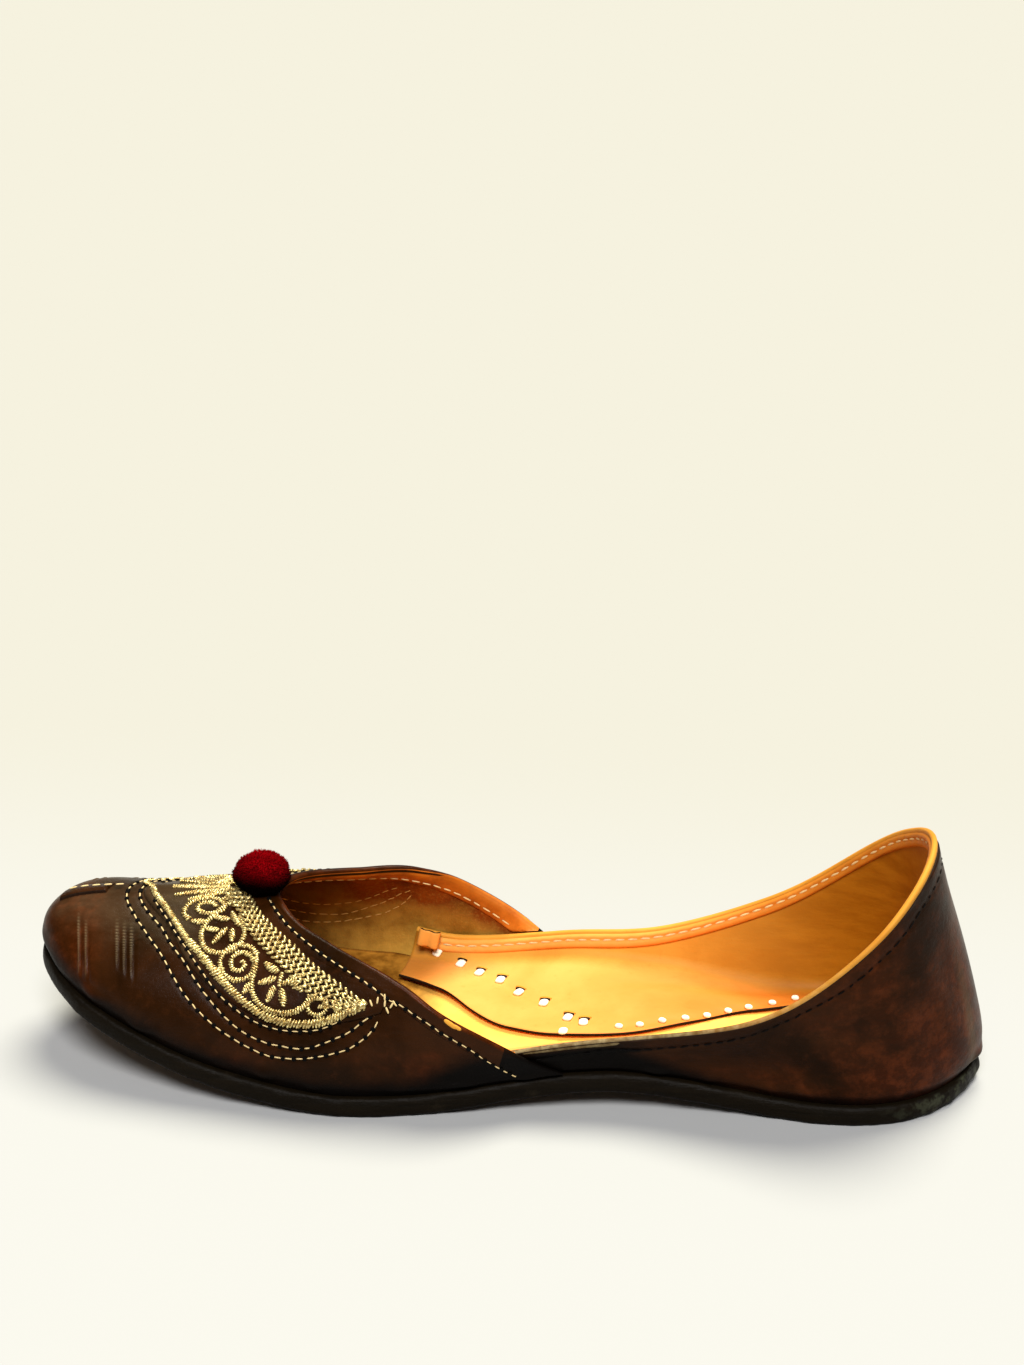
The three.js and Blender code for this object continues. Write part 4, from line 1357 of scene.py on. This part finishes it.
def make_hand_stitches():
    """Thick white stitches. The big ones each come up through an arched slit, whose lip stands up."""
    threads = []
    slits = []
    lips = []
    for places, long, wide, slit in ((BIG_HAND_STITCHES, 2.9 * MM, 2.6 * MM, True),
                                     (LAST_HAND_STITCH, 2.8 * MM, 2.6 * MM, False),
                                     (SMALL_HAND_STITCHES, 1.5 * MM, 2.2 * MM, False)):
        here, across, inward = on_lining(places)
        swing = shaky(len(places), 0.16, len(places))
        threads.append(stand((here, across, inward), long / 2, wide / 2, 0.6 * MM, swing, 0.15 * MM))
        if slit:
            above = here + across * (0.6 * long)
            slits.append(stand((above, across, inward), 0.55 * MM, 0.6 * wide, 0.3 * MM, swing, 0.22 * MM))
            over = here + across * (0.6 * long + 0.85 * MM)
            lips.append(stand((over, across, inward), 0.5 * MM, 0.7 * wide, 0.6 * MM, swing, 0.05 * MM))
    finish_piece("hand_stitches", repeat(HAND_STITCH, np.concatenate(threads)), [WHITE_THREAD])
    # The slits are dark beads: painted shade in each slit's opening.
    finish_piece("hand_stitch_slits", repeat(HAND_STITCH, np.concatenate(slits)), [CUT_EDGE])
    finish_piece("hand_stitch_lips", repeat(STITCH_FINE, np.concatenate(lips)), [LINING])


# Stitches on the toe's lap, a knot where the crescent's rows meet the throat's, and spots worn to the raw leather.
LAP_STITCHES = [(11.14, 0.37), (11.13, 0.62)]
KNOT = [(6.96, 0.757), (6.75, 0.777), (6.89, 0.802), (6.78, 0.722), (6.72, 0.805), (7.02, 0.719), (6.85, 0.76)]
WORN_SPOTS = [((5.87, 0.885), 2.1, 0.7), ((5.80, 0.855), 1.3, 0.55)]


def make_small_marks():
    lap = stand(pace(LAP_STITCHES, 3.2 * MM, lap_face), 1.15 * MM, 0.28 * MM, 0.22 * MM, 0.1, 0.05 * MM)
    count = len(KNOT)
    tight = [stand(spots(places, band_face), 0.95 * MM, 0.28 * MM, 0.3 * MM, -0.9 + shaky(count, 0.5, 5), 0.15 * MM)
             for places in (KNOT, far(KNOT))]
    finish_piece("small_stitches", repeat(STITCH_FINE, np.concatenate([lap] + tight)), [CREAM_THREAD])
    spots_worn = []
    for place, length, width in WORN_SPOTS:
        steps = pace([place, (place[0] + 0.02, place[1] + 0.012)], 5 * MM, band_face)
        spots_worn.append(stand(steps, length * MM, width * MM, 0.35 * MM, 0, -0.1 * MM))
    finish_piece("worn_spots", repeat(STITCH_FINE, np.concatenate(spots_worn)), [LINING])


make_machine_stitches()
make_inside_stitches()
make_hand_stitches()
make_small_marks()


# Gold work on the crescent.
def satin_cord(places, width, step=0.72 * MM, slant=0.3, height=0.5, aside=0.0, seed=1):
    """A line covered with close stitches that lie across it, a little uneven as by hand."""
    steps = pace(places, step, panel_face)
    count = len(steps[0])
    half = width / 2 * (1 + shaky(count, 0.1, seed))
    return stand(steps, half, step * 0.5, height * MM * (1 + shaky(count, 0.18, seed + 7)),
                 math.pi / 2 - slant + shaky(count, 0.12, seed + 3), 0.1 * MM + shaky(count, 0.05 * MM, seed + 5),
                 aside)


def leaf(start, end, width, step=0.7 * MM, seed=1):
    """A petal of satin stitches from one place to another, widest past its middle."""
    steps = pace([start, end], step, panel_face)
    count = len(steps[0])
    share = (np.arange(count) + 0.5) / count
    half = width / 2 * np.sin(np.pi * share ** 0.75) ** 0.6 + 0.2 * MM
    return stand(steps, half, step * 0.52, 0.6 * MM, math.pi / 2 - 0.5 + shaky(count, 0.15, seed), 0.15 * MM)


def chain_line(places, seed, step=1.95 * MM):
    """Chain stitch: each link is two thick slanted stitches that meet in a point."""
    steps = pace(places, step, panel_face)
    count = len(steps[0])
    links = []
    for hand in (1, -1):
        links.append(stand(steps, step * (0.62 + shaky(count, 0.05, seed)), 0.44 * MM, 0.6 * MM,
                           -hand * (0.62 + shaky(count, 0.12, seed + hand)),
                           0.4 * MM + shaky(count, 0.1 * MM, seed + 2 * hand), hand * 0.48 * MM))
    return np.concatenate(links)


CHAIN_LOW = [(10.95, 0.89), (10.01, 0.885), (9.52, 0.857), (9.13, 0.827), (8.72, 0.794), (8.34, 0.751), (7.98, 0.691),
             (7.72, 0.648), (7.44, 0.615), (7.22, 0.63), (7.08, 0.68)]
CHAIN_HIGH = [(10.97, 0.94), (10.43, 0.933), (9.78, 0.921), (9.19, 0.906), (8.62, 0.881), (8.17, 0.84), (7.77, 0.794),
              (7.49, 0.757), (7.29, 0.722), (7.18, 0.705), (7.05, 0.7)]
CHAIN_LANES = (0.08, 0.36, 0.64, 0.92)
FAR_CHAIN_LANES = (-0.3, 0, 0.3)


def chain_places(lane):
    """The lanes of the chain band lie side by side, between the scrolls and the throat's ledge."""
    return [(a[0] + (b[0] - a[0]) * lane, a[1] + (b[1] - a[1]) * lane) for a, b in zip(CHAIN_LOW, CHAIN_HIGH)]


# The scrolls of one half: two open loops with petals, two coils, a small ring and the palmette on the middle.
CORDS = [
    ([(10.15, 0.75), (10.28, 0.751), (10.45, 0.778), (10.58, 0.819), (10.58, 0.856), (10.4, 0.868), (10.2, 0.85),
      (10.19, 0.811), (10.32, 0.795), (10.46, 0.815), (10.45, 0.843), (10.33, 0.845)], 1.6),
    ([(10.45, 0.895), (10.18, 0.832), (9.99, 0.781), (9.75, 0.728), (9.5, 0.684), (9.33, 0.68), (9.24, 0.713),
      (9.25, 0.765), (9.42, 0.823), (9.67, 0.857), (9.95, 0.874)], 1.8),
    ([(8.89, 0.766), (9.12, 0.783), (9.29, 0.76), (9.26, 0.708), (9.12, 0.64), (8.91, 0.592), (8.74, 0.592),
      (8.67, 0.642), (8.77, 0.71), (8.98, 0.746), (9.12, 0.732), (9.08, 0.686), (8.94, 0.643), (8.83, 0.65),
      (8.87, 0.69), (8.97, 0.7)], 1.6),
    ([(8.93, 0.766), (8.74, 0.708), (8.62, 0.641), (8.47, 0.563), (8.28, 0.504), (8.08, 0.483), (7.9, 0.5),
      (7.78, 0.55), (7.76, 0.61), (7.78, 0.65)], 1.8),
    ([(7.7, 0.554), (7.74, 0.606), (7.66, 0.642), (7.53, 0.63), (7.49, 0.578), (7.54, 0.536), (7.64, 0.538),
      (7.7, 0.554)], 1.4),
    ([(8.33, 0.725), (8.27, 0.68), (8.21, 0.637)], 1.3),
]
PETALS = [
    ((9.7, 0.81), (9.5, 0.715), 1.7), ((9.9, 0.84), (10.1, 0.815), 1.6), ((9.64, 0.82), (9.38, 0.765), 1.7),
    ((9.66, 0.845), (10.12, 0.868), 1.6), ((9.72, 0.782), (9.88, 0.76), 1.5),
    ((8.33, 0.676), (8.49, 0.62), 1.9), ((8.25, 0.628), (8.22, 0.528), 1.9), ((8.15, 0.632), (7.99, 0.53), 2.0),
    ((8.38, 0.713), (8.68, 0.742), 1.9), ((8.12, 0.69), (7.89, 0.652), 1.8), ((8.2, 0.66), (8.06, 0.735), 1.5),
    ((8.57, 0.6), (8.54, 0.53), 1.5), ((10.0, 0.778), (10.11, 0.75), 1.6), ((9.0, 0.62), (9.12, 0.585), 1.2),
    ((7.6, 0.59), (7.52, 0.6), 1.0), ((7.35, 0.58), (7.42, 0.64), 1.3),
]
PALMETTE = [((10.98, 0.9), (10.98, 0.765), 1.8), ((10.86, 0.9), (10.73, 0.765), 1.7), ((10.74, 0.885), (10.58, 0.79), 1.5),
            ((10.62, 0.9), (10.5, 0.87), 1.4)]


def half_of_gold():
    """The gold work of the left half; the right half mirrors it."""
    border = [satin_cord(BORDER[:4], 2.0 * MM, 0.5 * MM, 0.35, 0.65, seed=11),
              satin_cord(BORDER[3:], 2.8 * MM, 0.86 * MM, 0.5, 0.65, seed=12)]
    chain = [chain_line(chain_places(lane), seed) for seed, lane in enumerate(CHAIN_LANES, 20)]
    scrolls = [satin_cord(places, width * MM, seed=30 + i) for i, (places, width) in enumerate(CORDS)]
    scrolls += [leaf(start, end, 1.25 * width * MM, seed=60 + i) for i, (start, end, width) in enumerate(PETALS + PALMETTE)]
    return border, chain, scrolls


def mirrored(places):
    """The same beads on the shoe's right side."""
    flipped = places.copy()
    flipped[:, 1, :] *= -1
    flipped[:, :3, 1] *= -1
    return flipped


# Made by hand, the right half's border comes out a little lower than the left's.
FAR_BORDER_DROP = 0.1


def far_border():
    drop = [(at, share - FAR_BORDER_DROP * float(smoothstep(TOE - at, 0.05, 0.6))) for at, share in BORDER]
    return [satin_cord(far(drop)[:4], 2.0 * MM, 0.5 * MM, -0.35, 0.4, seed=13),
            satin_cord(far(drop)[3:], 2.7 * MM, 0.86 * MM, -0.5, 0.5, seed=14)]


def make_gold():
    border, chain, scrolls = half_of_gold()
    finish_piece("gold_border", repeat(STITCH, np.concatenate(border + far_border())), [GOLD])
    far_chain = [mirrored(chain_line(chain_places(lane), seed)) for seed, lane in enumerate(FAR_CHAIN_LANES, 20)]
    finish_piece("gold_chain", repeat(STITCH, np.concatenate(chain + far_chain)), [GOLD])
    left = np.concatenate(scrolls)
    finish_piece("gold_scrolls", repeat(STITCH, np.concatenate([left, mirrored(left)])), [GOLD])


make_gold()


# The pompom: a lumpy core covered with short cut hairs.
POMPOM_HAIRS = 5200
HAIR_LENGTH = (0.7 * MM, 1.25 * MM)
HAIR_RADIUS = (0.1 * MM, 0.17 * MM)


def pompom_shape(direction):
    """How far the ball's core reaches in each direction: squashed, with a few flats and lumps."""
    radii = np.where(direction[:, 2:3] > 0, np.array([[7.6, 7.6, 5.6]]), np.array([[7.6, 7.6, 5.2]])) * MM
    lump = 1 + 0.07 * waviness(direction, 1.5, 41) + 0.035 * waviness(direction, 0.5, 43)
    return direction * radii * lump[:, None]


def make_pompom():
    middle = (POMPOM_LOW + POMPOM_HIGH) / 2
    centre = np.array([middle.x, middle.y, POMPOM_LOW.z + 3.7 * MM])
    bm = bmesh.new()
    bmesh.ops.create_icosphere(bm, subdivisions=5, radius=1)
    directions = np.array([vert.co for vert in bm.verts])
    for vert, reach in zip(bm.verts, pompom_shape(directions)):
        vert.co = centre + reach * 0.96
    finish_piece("pompom_core", bm, [WOOL], ["pompom"])
    hair = bpy.data.meshes.new("hair_template")
    bm = bmesh.new()
    bmesh.ops.create_cone(bm, cap_ends=True, segments=4, radius1=1, radius2=0.5, depth=1)
    bmesh.ops.translate(bm, verts=bm.verts, vec=(0, 0, 0.5))
    bm.to_mesh(hair)
    bm.free()
    picker = np.random.default_rng(7)
    height = 1 - 2 * (np.arange(POMPOM_HAIRS) + 0.5) / POMPOM_HAIRS
    turn = np.arange(POMPOM_HAIRS) * math.pi * (3 - math.sqrt(5))
    ring = np.sqrt(1 - height ** 2)
    out = np.stack([ring * np.cos(turn), ring * np.sin(turn), height], -1)
    lean = unit(out + picker.normal(size=out.shape) * 0.35)
    side = unit(np.cross(lean, picker.normal(size=out.shape)))
    size = picker.uniform(*HAIR_RADIUS, POMPOM_HAIRS)[:, None]
    places = np.zeros((POMPOM_HAIRS, 4, 4))
    places[:, :3, 0] = side * size
    places[:, :3, 1] = np.cross(lean, side) * size
    places[:, :3, 2] = lean * picker.uniform(*HAIR_LENGTH, POMPOM_HAIRS)[:, None]
    places[:, :3, 3] = centre + pompom_shape(out) * 0.92
    places[:, 3, 3] = 1
    finish_piece("pompom_hairs", repeat(hair, places), [WOOL])


make_pompom()


# The studio: a pale floor, a soft warm sun behind on the heel's side and a softer one from the camera's side.
FLOOR_NEAR = (0.363, 0.363, 0.363, 1)
FLOOR_BACK = (0.345, 0.338, 0.312, 1)
KEY_COLOR = (1, 0.97, 0.81)


def make_floor():
    f = Finish("studio_floor")
    where = f.node("ShaderNodeTexCoord", output="Object")
    depth = f.node("ShaderNodeSeparateXYZ", {}, {"Vector": where}, output=1)
    color = f.blend(f.ramp(depth, -0.2, 0.0), FLOOR_BACK, FLOOR_NEAR)
    f.surface(color=color, roughness=1.0, specular=0.0)
    bm = bmesh.new()
    bmesh.ops.create_grid(bm, x_segments=1, y_segments=1, size=6)
    mesh = bpy.data.meshes.new("floor")
    bm.to_mesh(mesh)
    bm.free()
    mesh.materials.append(f.material)
    floor = bpy.data.objects.new("floor", mesh)
    bpy.context.scene.collection.objects.link(floor)


def make_light(name, kind, energy, place, aim, size, color=(1, 1, 1)):
    data = bpy.data.lights.new(name, kind)
    data.energy = energy
    data.color = color
    if kind == "SUN":
        data.angle = size
    else:
        data.shape = "DISK"
        data.size = size
    light = bpy.data.objects.new(name, data)
    bpy.context.scene.collection.objects.link(light)
    light.location = place
    light.rotation_euler = (Vector(aim) - Vector(place)).to_track_quat("-Z", "Y").to_euler()


def make_world():
    world = bpy.data.worlds.new("studio")
    world.use_nodes = True
    background = world.node_tree.nodes["Background"]
    background.inputs["Color"].default_value = tone(255, 253, 248)
    background.inputs["Strength"].default_value = WORLD_STRENGTH
    bpy.context.scene.world = world


WORLD_STRENGTH = 0.12
make_floor()
make_world()
make_light("key_sun", "SUN", 5.4, (-0.2, -0.52, 1.15), (0, 0, 0), math.radians(32), KEY_COLOR)
make_light("front_sun", "SUN", 3.85, (-0.07, 0.7, 1.0), (0, 0, 0), math.radians(25))
bpy.context.scene.view_settings.view_transform = "Standard"
